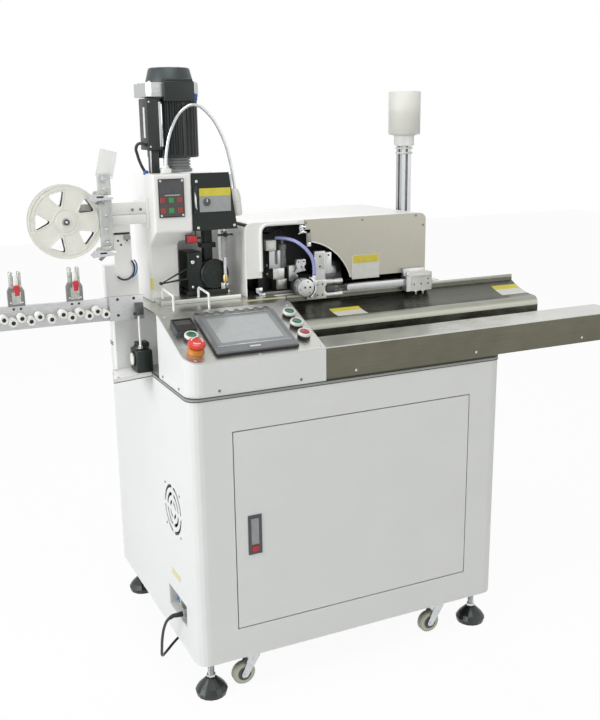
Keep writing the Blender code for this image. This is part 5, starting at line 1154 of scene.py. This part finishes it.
# %% Applicator
FEED_DISC = (189, 62)
place_piece("applicator", TABLE, {
    BLACK_APPLICATOR: [
        box((117.3, 318.4, 10.9), (223.6, 395.6, 24.4), 1.2),
        box((120.8, 321.6, 22), (157.2, 388.4, 119), 2.0, 3),
        prism([(157, 22), (216, 22), (216, 84), (212, 90), (206, 92), (157, 92)],
              330.4, 344.6, "xz", 1.2),
        prism([(157, 22), (166, 22), (166, 92), (157, 92)], 344, 373.6, "xz", 1.0),
        prism([(197, 22), (216, 22), (216, 84), (212, 90), (197, 92)], 344, 373.6, "xz", 1.0),
        disc(36.8, 316.2, 330.8, 2.2, 48, "y", FEED_DISC)],
    BLACK_STEEL: [
        disc(27, 314.9, 317, 0.8, 40, "y", FEED_DISC), disc(7, 313.4, 317, 0.8, 24, "y", FEED_DISC),
        *discs([polar(FEED_DISC, 19, 30 + 60 * i) for i in range(6)], 2.4, 314.2, 316, 0.4, 12,
               "y"),
        ring([(48, 46), (125, 53), (126, 82), (122, 83)],
             [(58, 49.5), (118, 57), (119.5, 76), (117, 76.5)], 323.8, 330.2, "xz"),
        disc(3.6, 321.6, 332, 0.6, 16, "y", (52, 48))],
    CHROME: [disc(4.8, 313.8, 323, 0.6, 18, "y", (131, 96)),
             *discs([(146, 108), (131, 34)], 3.2, 317.8, 323, 0.4, 14, "y"),
             box((196, 318.6, 11.6), (226, 334, 19), 1.0),
             box((203, 314.4, 24), (214, 322, 40), 1.0),
             disc(5.0, 224, 231, 0.8, 20, "x", (340, 30)),
             disc(3.6, 216, 226, 0.6, 16, "x", (338, 70))]}, replaces="applicator_body")

# %% [markdown]
# ## Reel, tape guide and straightener
# The terminals come on a paper-backed tape from a moulded reel with five windows between its
# spokes. A clear strip guides the tape down to the tool. The wire comes from the left through a
# straightener: a milled bar with thirteen grooved nylon rollers on steel pins.

# %% Reel
REEL = (-168.6, 210.0)
REEL_FRONT = 312
HUB, SIDE_RIM = 20, 82
WINDOWS, FIRST_WINDOW = 5, 34
REEL_RINGS = ((84.4, 81.4, -1.3, 2.0), (84.4, 81.4, 18.0, 21.3), (75.4, 73.6, -0.9, 1.9),
              (29.5, 27.6, -1.0, 1.9), (22, 8.6, -1.6, 21.0), (26, 24, 0.4, 19.4))


def window(middle, apex=33, base=68, half=20):
    """One window of the reel: a triangle with round corners, its apex towards the hub."""
    corners = [(apex, 0, 5.0), (base, half, 5.5), (base, -half, 5.5)]
    points = []
    for i, (a, b, radius) in enumerate(corners):
        before, after = corners[i - 1], corners[(i + 1) % 3]
        here = Vector((a, b))
        one, two = Vector(before[:2]) - here, Vector(after[:2]) - here
        reach = radius / math.tan(one.angle(two) / 2)
        start, stop = here + one.normalized() * reach, here + two.normalized() * reach
        for t in (0, 0.2, 0.4, 0.6, 0.8, 1):
            points.append((1 - t) ** 2 * start + 2 * t * (1 - t) * here + t * t * stop)
    turn = math.radians(middle)
    return [(p.x * math.cos(turn) - p.y * math.sin(turn), p.x * math.sin(turn)
             + p.y * math.cos(turn)) for p in points]


def degrees_near(point, middle):
    """The direction of a point in degrees, within half a turn of the middle one."""
    degrees = math.degrees(math.atan2(point[1], point[0]))
    return degrees + 360 * round((middle - degrees) / 360)


def sector(middle):
    """A fifth of the reel's side with its window, as two halves that meet on the window."""
    hole = window(middle)
    count, half_turn = len(hole), 180 / WINDOWS
    along = [math.hypot(*p) * math.cos(math.radians(degrees_near(p, middle) - middle))
             for p in hole]
    near = min(range(count), key=lambda i: math.hypot(*hole[i]))
    far = along.index(max(along))
    halves = []
    for step in (1, -1):
        path = [hole[(near + step * i) % count] for i in range((far - near) * step % count + 1)]
        side = 1 if degrees_near(path[len(path) // 2], middle) > middle else -1
        edge = middle + side * half_turn
        halves.append(path + arc((0, 0), SIDE_RIM, degrees_near(path[-1], middle), edge, 8)
                      + arc((0, 0), HUB, edge, degrees_near(path[0], middle), 5))
    return halves


reel = []
for middle in [FIRST_WINDOW + 360 / WINDOWS * i for i in range(WINDOWS)]:
    for low, high, bead in ((0, 1.5, (-1.0, 1.5)), (18.5, 20, (18.5, 21))):
        reel += [prism(half, low, high, "xz", flat=True) for half in sector(middle)]
        reel.append(ring(window(middle, 26, 70.5, 23), window(middle), *bead, "xz"))
for radius, inside, low, high in REEL_RINGS:
    reel.append(ring(circle((0, 0), radius, 60), circle((0, 0), inside, 60), low, high, "xz"))
place_piece("reel", TABLE @ Matrix.Translation((REEL[0] * MM, REEL_FRONT * MM, REEL[1] * MM)),
            {REEL_PLASTIC: reel}, "tape_reel", replaces="tape_reel")

# %% Arm of the reel and its sensor
place_piece("reel_arm_fittings", TABLE, {
    WHITE_CASTING: [box((-190.6, 338, 194), (27.8, 374, 217), 1.6),
                    box((-190.6, 338, 217.4), (27.8, 374, 246), 1.6),
                    box((27.8, 334, 182), (33.8, 388, 252), 1.0),
                    prism(arc((-36.5, 86), 21, 180, 360, 12) + [(-15.5, 192), (-57.5, 192)],
                          329.9, 333.2, "xz", 0.4, 1),
                    box((-57.5, 330, 190), (-15.5, 340, 214), 0.8)],
    GREY_PLASTIC: [box((-190, 338.6, 215), (27, 373, 219), 0.4),
                   box((-33, 322, 160), (-18, 330.2, 170), 0.8)],
    MILLED_ALUMINIUM: [turned([(0, 306), (8.2, 306), (8.2, 334), (13, 334), (13, 339), (0, 339)],
                              24, "y", (REEL[0], 0, REEL[1]))],
    DARK_PLASTIC: [disc(7.0, 303.6, 309.4, 1.2, 24, "y", REEL)],
    CHROME: [disc(3.0, 301.8, 304, 0.6, 6, "y", REEL)],
    DARK_MILLED: screws([(-6, 337.9, 228), (14, 337.9, 228)], 3.6, "-y", 1.8),
    SMOKED_WINDOW_AND_HOLE_SHADE: discs([(-47, 158), (-25, 158), (-40, 148)], 2.6, 329.2, 330.2, 0.2, 14, "y"),
    BLACK_PLASTIC: [box((-56, 328.6, 172), (-18, 331, 177), 0.6)]}, replaces="reel_arm")
LOOP = [(-36 + 24 * math.cos(math.radians(t)), 325.5, 92 + 27 * math.sin(math.radians(t)))
        for t in range(42, -139, -18)]
small_cable("sensor_cable", LOOP, 2.2, CABLE_JACKET)
small_cable("sensor_lead_blue", [(x + 5, y - 4.6, z + 2) for x, y, z in LOOP[:7]], 1.6,
            BLUE_PLASTIC)

# %% Servo motor with its pulley, and a white rod painted as the highlight of its cable
place_piece("servo_motor", DECK, {
    BLACK_ENAMEL: [box((-35, 266, 0.3), (5, 324, 56), 5, 3),
                   turned([(0, 54), (19, 54), (19, 60), (17, 63.5), (0, 64)], 32, "z",
                          (-15, 295, 0)),
                   disc(19, -38.6, -34, 0.8, 40, "x", (294, 32)),
                   box((-28, 280, 60), (2, 310, 72), 3, 3)],
    WHITE_PLASTIC: [disc(15, -40.4, -38, 0.8, 36, "x", (294, 32)),
                    # thin white rod: a painted highlight along the cable that runs up from the
                    # motor
                    disc(2.7, 60, 138, 0.6, 16, "z", (-22, 276))],
    CHROME: [disc(5.2, 58, 68, 1.2, 20, "z", (-22, 276))]}, replaces="feed_motor")

# %% Clear guide of the tape
FLAP = Matrix.Translation((-70, 303, 338)) @ Matrix.Rotation(math.radians(14), 4, "Y")
BLOCKS, TERMINALS = (130, 258), ((150, 9), (176, 14), (206, 6), (232, 12))
place_piece("tape_track", TABLE, {
    CLEAR_GUIDE: [box((-93.5, 297.2, 140), (-64.5, 299.8, 315), 0.8),
                  box((-93.5, 305.6, 140), (-64.5, 308.6, 315), 0.8),
                  moved(box((-20, -0.9, -30), (20, 0.9, 30), 0.6), FLAP)],
    CHROME: [box((-93.0, 299.6, 142), (-90.2, 305.8, 313), 0.5),
             box((-67.8, 299.6, 142), (-65.0, 305.8, 313), 0.5),
             *screws([(-79, 297.3, z) for z in (160, 190, 222, 250, 282, 305)], 2.4, "-y", 1.2),
             moved(box((-20, -1.6, -31), (20, 1.6, -27), 0.5), FLAP),
             turned([(0, -8), (5.4, -7.4), (6, -6), (6, 6), (5.4, 7.4), (0, 8)], 20, "y",
                    (-84, 299, 305)),
             *[prism([(-122, z + 3), (-116, z - 4), (-62, z), (-62, z + 9), (-112, z + 13)],
                     290.5, 296.6, "xz", 0.8) for z in BLOCKS]],
    DARK_MILLED: [prism([(-104, z - 8), (-98, z - 12), (-86, z - 2), (-90, z + 4)],
                        291.5, 297.6, "xz", 0.6) for z in BLOCKS],
    ZINC: [prism([(-112, z + 9), (-76, z + 12), (-72, z + 22), (-104, z + 20)],
                 291.5, 297.4, "xz", 0.8) for z in BLOCKS]
    + [box((-89, 300.2, z), (-70, 305.2, z + long), 0.8) for z, long in TERMINALS],
    BLACK_STEEL: [box((-100, 290.2, z + 4), (-84, 291.2, z + 8), 0.3, 1) for z in BLOCKS]
    + [box((-87, 299.0, z + long + 3), (-74, 300.6, z + long + 7), 0.4) for z, long in TERMINALS],
    MILLED_ALUMINIUM: [box((-80, 308, 200), (-66, 337.4, 235), 1.2)]}, replaces="tape_guide")

# %% Straightener and clamps
BAR_LEFT, BAR_RIGHT = -391.0, -70.0
BAR_LONG = BAR_RIGHT - BAR_LEFT
ROLLER_PITCH, ROLLER_LOW, ROLLER_STEP = BAR_LONG * 0.0611, -3.3, 8.5
FIRST_BANK, MIDDLE_ROLLER, SECOND_BANK = [BAR_RIGHT - BAR_LONG * share
                                          for share in (0.866, 0.4794, 0.397)]
ROLLERS = [(x, ROLLER_LOW + ROLLER_STEP * (i % 2)) for i, x in enumerate(
    [FIRST_BANK + ROLLER_PITCH * i for i in range(6)] + [MIDDLE_ROLLER]
    + [SECOND_BANK + ROLLER_PITCH * i for i in range(6)])]
CLAMPS = {"left": BAR_RIGHT - BAR_LONG * 0.698, "right": BAR_RIGHT - BAR_LONG * 0.290}
ROLLER = [(3.4, -0.6), (8.8, -0.6), (9.9, 0.4), (9.9, 8.6), (7.4, 11), (7.4, 14), (9.9, 16.4),
          (9.9, 24.8), (3.4, 24.8)]
place_piece("straightener", TABLE, {
    MILLED_ALUMINIUM: [box((BAR_LEFT, 300, -25), (BAR_RIGHT + 2, 308, 30), 0.9),
                       box((-86, 294, -26), (-4, 300.6, 32), 0.9),
                       box((-80, 300, -20), (-6, 333.6, 26), 0.9)],
    WHITE_PLASTIC: [turned(ROLLER, 24, "y", (x, 272.2, z)) for x, z in ROLLERS],
    BLACK_STEEL: discs(ROLLERS, 4.7, 271.2, 272.9, 0.3, 18, "y")}, replaces="wire_straightener")
place_piece("bar_holes_painted_shade", TABLE, {
    # dark discs: painted shade inside the bar's holes
    SMOKED_WINDOW_AND_HOLE_SHADE: discs([(x + side, 23) for x in CLAMPS.values() for side in (-8, 8)],
                       3.0, 299.3, 300.2, 0.2, 14, "y")
    + discs([(-66, 25), (-27, 25), (-66, -13), (-27, -13)], 3.6, 293.2, 294.2, 0.2, 14, "y"),
    SMOKY_COVER: [box((-24, 286.5, -16), (-6, 294.4, 14), 1.4)]})
for side, x in CLAMPS.items():
    place_piece("clamp_posts_" + side, TABLE, {
        DARK_MILLED: [prism([(x - 18.5, 30.4), (x + 18.5, 30.4), (x + 18.5, 64), (x + 12, 76),
                             (x - 12, 76), (x - 18.5, 64)], 296.4, 311.4, "xz", 1.6)],
        ZINC: [box((x - 10, 295.6, 34), (x + 10, 297.2, 62), 0.5),
               box((x - 13.0, 295.4, 70), (x - 5.2, 310.6, 108), 2.4, 3),
               box((x + 5.2, 295.4, 70), (x + 13.0, 310.6, 108), 2.4, 3)],
        CHROME: screws([(x - 9.1, 303, 107.6), (x + 9.1, 303, 107.6)], 3.0)
        + screws([(x - 12.6, 296.3, 38), (x + 12.6, 296.3, 38)], 2.4, "-y", 1.4)})
    lever = "clamp_lever_" + side
    place_piece(lever + "_grip", TABLE, {
        WHITE_PLASTIC: [box((x - 4.6, 284.5, 56), (x + 4.6, 304, 97), 1.6)],
        RED_GRIP: [prism([(x - 7.0, 76), (x - 5.0, 56), (x + 5.0, 56), (x + 7.0, 76), (x + 5, 79),
                          (x - 5, 79)], 278.6, 286, "xz", 1.8)]}, lever, replaces=lever)

# %% [markdown]
# ## The cutting head in its housing
# Behind the panel's round cut-out stands the cutting head: milled blocks, an air cylinder and
# the shaft of the swinging arm. The housing is in deep shade inside, so dark walls are put in it
# as painted shade. The arm is built as a fitter would: a hub disc on the shaft, an upright
# block and two round jaws that hold the wire.

# %% Painted shade inside the housing, and the bead round its mouth
BEAD = smooth_line([(x, 293.4, z) for x, z in (
    (303.5, 62), (303.5, 110), (303.5, 158), (306.5, 169), (315, 176.5), (328, 178.5),
    (370, 178.5), (405, 178.5))], 4)
place_piece("housing_painted_shade_and_bead", TABLE, {
    DARK_COAT_AND_SHADE: [box((266, 606, 1), (782, 611, 181), 0.5), box((265, 300, 1), (267, 610, 180), 0.5),
                box((266, 300, 180), (783, 610, 182), 0.5),
                box((780, 300, 1), (783, 610, 181), 0.5),
                box((266, 410, 0.3), (783, 610, 1.4), 0.3)],
    WHITE_CASTING: [tube(BEAD, 4.2, 14)]})

# %% Cutting head
ARM_AXIS = (406.5, 18)
place_piece("cutting_head", TABLE, {
    DARK_MILLED: [box((312, 302, 0.4), (560, 406, 7.6), 0.8),
                  box((354, 312, 74), (358, 320, 109), 0.6),
                  box((346, 298, 12), (376, 330, 38.5), 1.2),
                  ring(circle(ARM_AXIS, 20, 36), circle(ARM_AXIS, 9.2, 36), 300, 356, "xz"),
                  box((386, 330, 5), (436, 360, 30), 1.0),
                  box((480, 330, 5), (550, 402, 70), 1.4),
                  box((427, 288.2, 116), (441, 292.6, 152), 1.0)],
    # dark back plate at the rear: painted shade of the housing's inside; two blocks in the same
    # dark coat
    DARK_COAT_AND_SHADE: [box((318, 350, 5), (350, 380, 125), 1.2), box((312, 400, 5), (560, 406, 168), 0.8),
                box((436, 322, 5), (470, 380, 34), 1.2)],
    PALE_PLASTIC: [box((323, 306, 111), (351, 340, 136.5), 1.4),
                   box((342, 298.6, 43), (352, 301, 60), 0.6)],
    WHITE_PLASTIC: [box((328, 304.6, 116), (345, 307, 131), 0.6)],
    MILLED_UPRIGHT: [box((336, 318, 62), (368, 372, 109), 1.4)],
    GREY_PLASTIC: [turned([(0, 62), (10.5, 62), (11, 63.5), (11, 84), (9.8, 85), (9.8, 108),
                           (11, 109), (11, 120), (9, 122), (4, 122), (4, 131), (0, 131)], 32, "z",
                          (382, 340, 0))],
    MILLED_ALUMINIUM: [
        box((338, 300, 38), (370, 346, 66), 1.4),
        prism([(383, 30), (409, 30), (409, 44), (400, 52), (409, 60), (409, 70), (383, 70)],
              302, 316, "xz", 1.2),
        prism([(397, 52), (402, 62), (397, 74), (400, 86), (424, 86), (426, 74), (420, 66),
               (426, 56)], 288, 300, "xz", 1.4),
        box((486, 322, 38), (530, 332, 58), 1.0)],
    ZINC: [box((350, 296.4, 22), (372, 299, 37), 0.8)],
    SMOKED_WINDOW_AND_HOLE_SHADE: discs([(404, 80), (419, 80), (412, 66)], 2.0, 287.2, 288.6, 0.2, 12, "y"),
    DARK_PLASTIC: [turned([(0, 0), (4.4, 0), (4.8, 1), (4.8, 12), (3.2, 15), (0, 15)], 14, "y",
                          (x, 384, z))
                   for x, z in ((331, 160), (346, 152), (362, 158), (400, 150))],
    GREEN_DISPLAY: discs([(326, 52), (326, 74)], 2.6, 309.0, 311.6, 0.4, 14, "y"),
    CHROME: [box((412, 296, 150), (426, 302, 172), 1.0),
             box((428.5, 286.4, 118), (439, 288.6, 128), 0.8),
             tube([(411, 296, 164), (420, 290, 168), (428, 288, 166)], 2.6),
             tube([(409, 296, 150), (418, 290, 155), (427, 288, 153)], 2.6)]},
    replaces="cutter_frame")
small_cable("cutter_cable", [(330, 384, 158), (342, 360, 150), (360, 346, 152), (382, 346, 160),
                             (398, 372, 156), (404, 396, 148)], 2.6, CABLE_JACKET)

# %% Panel fittings: the cut-out's bright edge runs from the mouth to the panel's foot
CUT_OUT, CUT_RADIUS = (417, -15), 145
CUT_START, CUT_STOP = math.degrees(math.asin(43 / CUT_RADIUS)), math.degrees(
    math.acos(23 / CUT_RADIUS))
place_piece("panel_fittings", TABLE, {
    DARK_MILLED: screws([(428, 291.6, 177.2), (591.7, 291.6, 176.4), (755.3, 291.6, 178.8),
                         (779, 291.6, 152.6)], 3.0, "-y", 1.2),
    WHITE_CASTING: [tube([(x, 291.2, z) for x, z in arc(CUT_OUT, CUT_RADIUS + 0.6, CUT_START,
                                                        CUT_STOP, 30)], 1.7, 10)],
    BARE_PLATE: [box((560, 290.9, 21.7), (643, 291.7, 63.4), 0.2, 1),
                 box((560, 291.1, 63.4), (643, 291.8, 84.4), 0.2, 1)],
    YELLOW_PLATE: [box((563, 290.4, 64.0), (640, 291.7, 83.7), 0.2, 1)]})
place_piece("worktop_plates", TABLE, {
    YELLOW_PALE: [box((236, 242, 0.2), (347, 256, 0.9), 0.2, 1)],
    CHROME: [box((298, 300, 0.2), (316, 322, 5.0), 0.8),
             box((298, 318, 0.2), (316, 322, 17), 0.8)]})

# %% The stainless trough and its two plates
TROUGH_LEFT, TROUGH_RIGHT = 366, 1075
LIP, RIM, SAG = (181, -48), (281, -19.5), 7
CURL = [(163, -71), (163.8, -63), (166.4, -56.5), (170.6, -51.8), (175.6, -49.2), LIP]
PLATES = ((464, 549, 184, 236), (990, 1073, 208, 262))
FOLD_SHARE = 0.36


def trough_height(y):
    """Height of the sheet between its lip and its rim: it sags a little."""
    along = (y - LIP[0]) / (RIM[0] - LIP[0])
    return LIP[1] + along * (RIM[1] - LIP[1]) - 4 * SAG * along * (1 - along)


def strip(left, right, start, stop, above, below):
    """A strip that follows the sheet."""
    line = [start + (stop - start) * i / 12 for i in range(13)]
    return prism([(y, trough_height(y) + above) for y in line]
                 + [(y, trough_height(y) - below) for y in reversed(line)], left, right, "yz")


place_piece("drop_trough", TABLE, {
    STAINLESS_LIP: [prism(CURL + [(y + 1.6, z - 1.6) for y, z in reversed(CURL)], TROUGH_LEFT,
                          TROUGH_RIGHT, "yz"),
                    box((TROUGH_LEFT, 280.6, -11), (TROUGH_RIGHT, 288.8, -3.4), 0.8)],
    # sheet, front wall and rim in stainless painted dark as reflections
    STAINLESS_TROUGH_DARK_REFLECTION: [box((TROUGH_LEFT, 163.2, -115.7), (TROUGH_RIGHT, 164.8, -70.8)),
                       strip(TROUGH_LEFT, TROUGH_RIGHT, LIP[0], RIM[0], 0, 2),
                       box((TROUGH_LEFT, 281, -22), (TROUGH_RIGHT, 288.8, -11))]},
    replaces="trough")
FOLDS = [back - FOLD_SHARE * (back - front) for _, _, front, back in PLATES]
place_piece("trough_plate", TABLE, {
    BARE_PLATE: [strip(left, right, front, fold, 0.7, 0.2)
                 for (left, right, front, _), fold in zip(PLATES, FOLDS)],
    YELLOW_PLATE: [strip(left, right, fold, back, 0.8, 0.2)
                   for (left, right, _, back), fold in zip(PLATES, FOLDS)]})

# %% Swinging arm
x, z = ARM_AXIS
JAW = [(0, 460), (7.3, 460), (7.9, 461), (7.9, 492), (7.0, 493), (7.0, 496), (7.9, 497),
       (7.9, 520.4), (6.8, 521.6), (0, 521.6)]
place_piece("swinging_arm", TABLE, {
    MILLED_ALUMINIUM: [
        turned([(0, 250.2), (20.5, 250.2), (22.6, 251), (23.3, 253), (23.3, 256.4), (21.8, 257),
                (21.8, 259.4), (23.4, 260), (23.4, 276.8), (0, 276.8)], 44, "y", (x, 0, z)),
        prism([(418, -16.5), (474, -16.5), (474, 0), (470, 2), (470, 14), (474, 16), (474, 32.5),
               (418, 32.5)], 268.2, 283.8, "xz", 1.2),
        *[turned(JAW, 28, "x", (0, 276, z)) for z in (-8.6, 24.4)],
        box((472.2, 273, 46), (490.8, 283, 101), 1.4),
        box((426.2, 251.4, 21), (439.8, 271.4, 36), 1.4)],
    SMOKED_WINDOW_AND_HOLE_SHADE: discs([(x - 2.6, z + 1.2), (x + 11.6, z + 1.2)], 2.9, 249.4, 250.8, 0.3, 14, "y")
    + discs([(446, -6), (446, 22), (460, -6), (460, 22)], 2.4, 263.8, 265.2, 0.3, 14, "y")
    + discs([(455, 93), (455, 67)], 2.6, 267.6, 269, 0.3, 14, "y")
    + discs([(482, 94)], 2.8, 272.2, 273.6, 0.3, 14, "y"),
    DARK_MILLED: screws([(x, 250.4, z) for x, z in [polar(ARM_AXIS, 16.5, turn)
                                                    for turn in (70, 190, 310)]], 2.2, "-y", 1.0)
    + [box((478, 270.5, 3), (508, 281.6, 13.6), 1.4)],
    CHROME: [prism(arc(ARM_AXIS, 30.5, -62, 62, 14) + arc(ARM_AXIS, 26.0, 62, -62, 14),
                   251.6, 268.5, "xz", 0.8)],
    TURNED_STEEL: [turned([(0, 272), (7.9, 272), (7.9, 344), (7, 345), (0, 345)], 24, "y",
                          (x, 0, z))],
    BARE_PLATE: [box((440, 264.6, -14), (466, 269, 30), 1.0)],
    DARK_PLASTIC: [prism([(474, 2), (486, -2), (500, 4), (512, 2), (512, 9), (494, 14), (474, 13)],
                         268.6, 271.5, "xz", 0.6)],
    MILLED_UPRIGHT: [box((441.2, 270.2, 20), (472, 282.8, 105.6), 1.6, 3)],
    PALE_PLASTIC: [box((443, 268.4, 60), (468, 270.8, 102), 1.0)],
    WHITE_PLASTIC: [turned([(0, 31), (5.4, 31), (5.4, 44), (4.4, 45), (4.4, 47.4), (0, 47.4)], 18,
                           "z", (433, 257.5, 0))]}, "swing_arm", replaces="swing_arm")

# %% Rail and gripper
GROOVE = [(254.6, -18), (278.8, -18), (278.8, -3.9), (261.2, -3.9), (261.2, 15.9), (278.8, 15.9)]
PINS = (743, 765)
place_piece("rail", TABLE, {
    MILLED_UPRIGHT: [prism([(530, 2)] + arc((535, 10), 5, 180, 90, 4)
                           + [(790, 15), (790, -3), (535, -3)], 262, 280, "xz", 0.9)],
    MILLED_ALUMINIUM: [box((712, 279.6, -2), (778, 291.2, 39.8), 1.0)],
    DARK_MILLED: screws([(x, 271, 14.8) for x in range(545, 686, 35)], 2.4, "z", 0.8)},
    replaces="delivery_rail")
place_piece("gripper", TABLE, {
    PALE_PLASTIC: [prism(GROOVE + [(278.8, 30.8), (254.6, 30.8)], 722, 786, "yz", 0.9)],
    MILLED_ALUMINIUM: [prism(GROOVE + [(278.8, 23), (254.6, 23)], 706.2, 722.2, "yz", 0.9)],
    WHITE_PLASTIC: [box((724, 253.2, 20), (784, 255, 29), 0.7)],
    SMOKED_WINDOW_AND_HOLE_SHADE: discs([(730, 0), (752, 0), (774, 0), (774, 12)], 2.2, 253.9, 255, 0.3, 12, "y"),
    CHROME: [part for x in PINS for part in (
        turned([(0, -36), (2.2, -36), (2.9, -34.6), (2.9, -17), (0, -17)], 18, "z", (x, 266, 0)),
        prism(hexagon((x, 266), 5.0), -22.4, -18, "xy", 0.5),
        prism(hexagon((x, 266), 4.2), -31.5, -28.8, "xy", 0.4))]},
    "delivery_gripper", replaces="delivery_gripper")

# %% Flux jar and the nuts of its post
POST = (802.6, 433)
x, y = POST
place_piece("jar", TABLE, {
    CLEAR_JAR: [turned([(0, 357.6), (27.6, 357.6), (28, 360), (28, 384), (31, 386.4), (42, 388),
                        (44, 391), (44, 501), (43.4, 502), (42.4, 501), (42, 392), (40, 390),
                        (0, 389.6)], 48, "z", (*POST, 0))],
    FLUX: [turned([(0, 391), (39.6, 391), (41.4, 393), (41.4, 452), (36, 456), (20, 458),
                   (0, 455)], 40, "z", (*POST, 0))]}, replaces="flux_jar")
place_piece("post_nuts", TABLE, {
    CHROME: [box((x + 14.6, y - 6, z), (x + 18.6, y + 6, z + 12), 1.2)
             for z in (60, 190, 250, 318, 338)],
    PALE_PLASTIC: [disc(24, z, z + 5, 1.0, 32, "z", POST) for z in (336, 349)]})

# %% [markdown]
# ## Rivets, handles and bare plates
# A few small things finish the machine: rivets in the long rail, screws in the console's wall
# and the plates that carry stickers on the real machine. They are left bare here.

# %% Small parts
place_piece("rivets_and_plates", CORNER, {
    CHROME: screws([(411.8, -0.1, 668.4), (751.9, -0.1, 671.8), (1090, -0.1, 671.8)],
                   3.4, "-y", 1.4, False),
    DARK_MILLED: screws([(72, -0.1, 664), (270, -0.1, 664)], 3.2, "-y", 1.4)
    + screws([(-0.1, 61, 662.4), (-0.1, 177, 662.4)], 3.2, "-x", 1.4),
    YELLOW_PALE: [box((-0.9, 118, 166), (0.2, 180, 180), 0.3, 1)],
    YELLOW_PLATE: [box((33.0, 330, 838), (34.1, 352, 866), 0.3, 1)],
    PALE_PLASTIC: [box((40, 333, 1030), (41, 336, 1031), 0.2, 1)]})
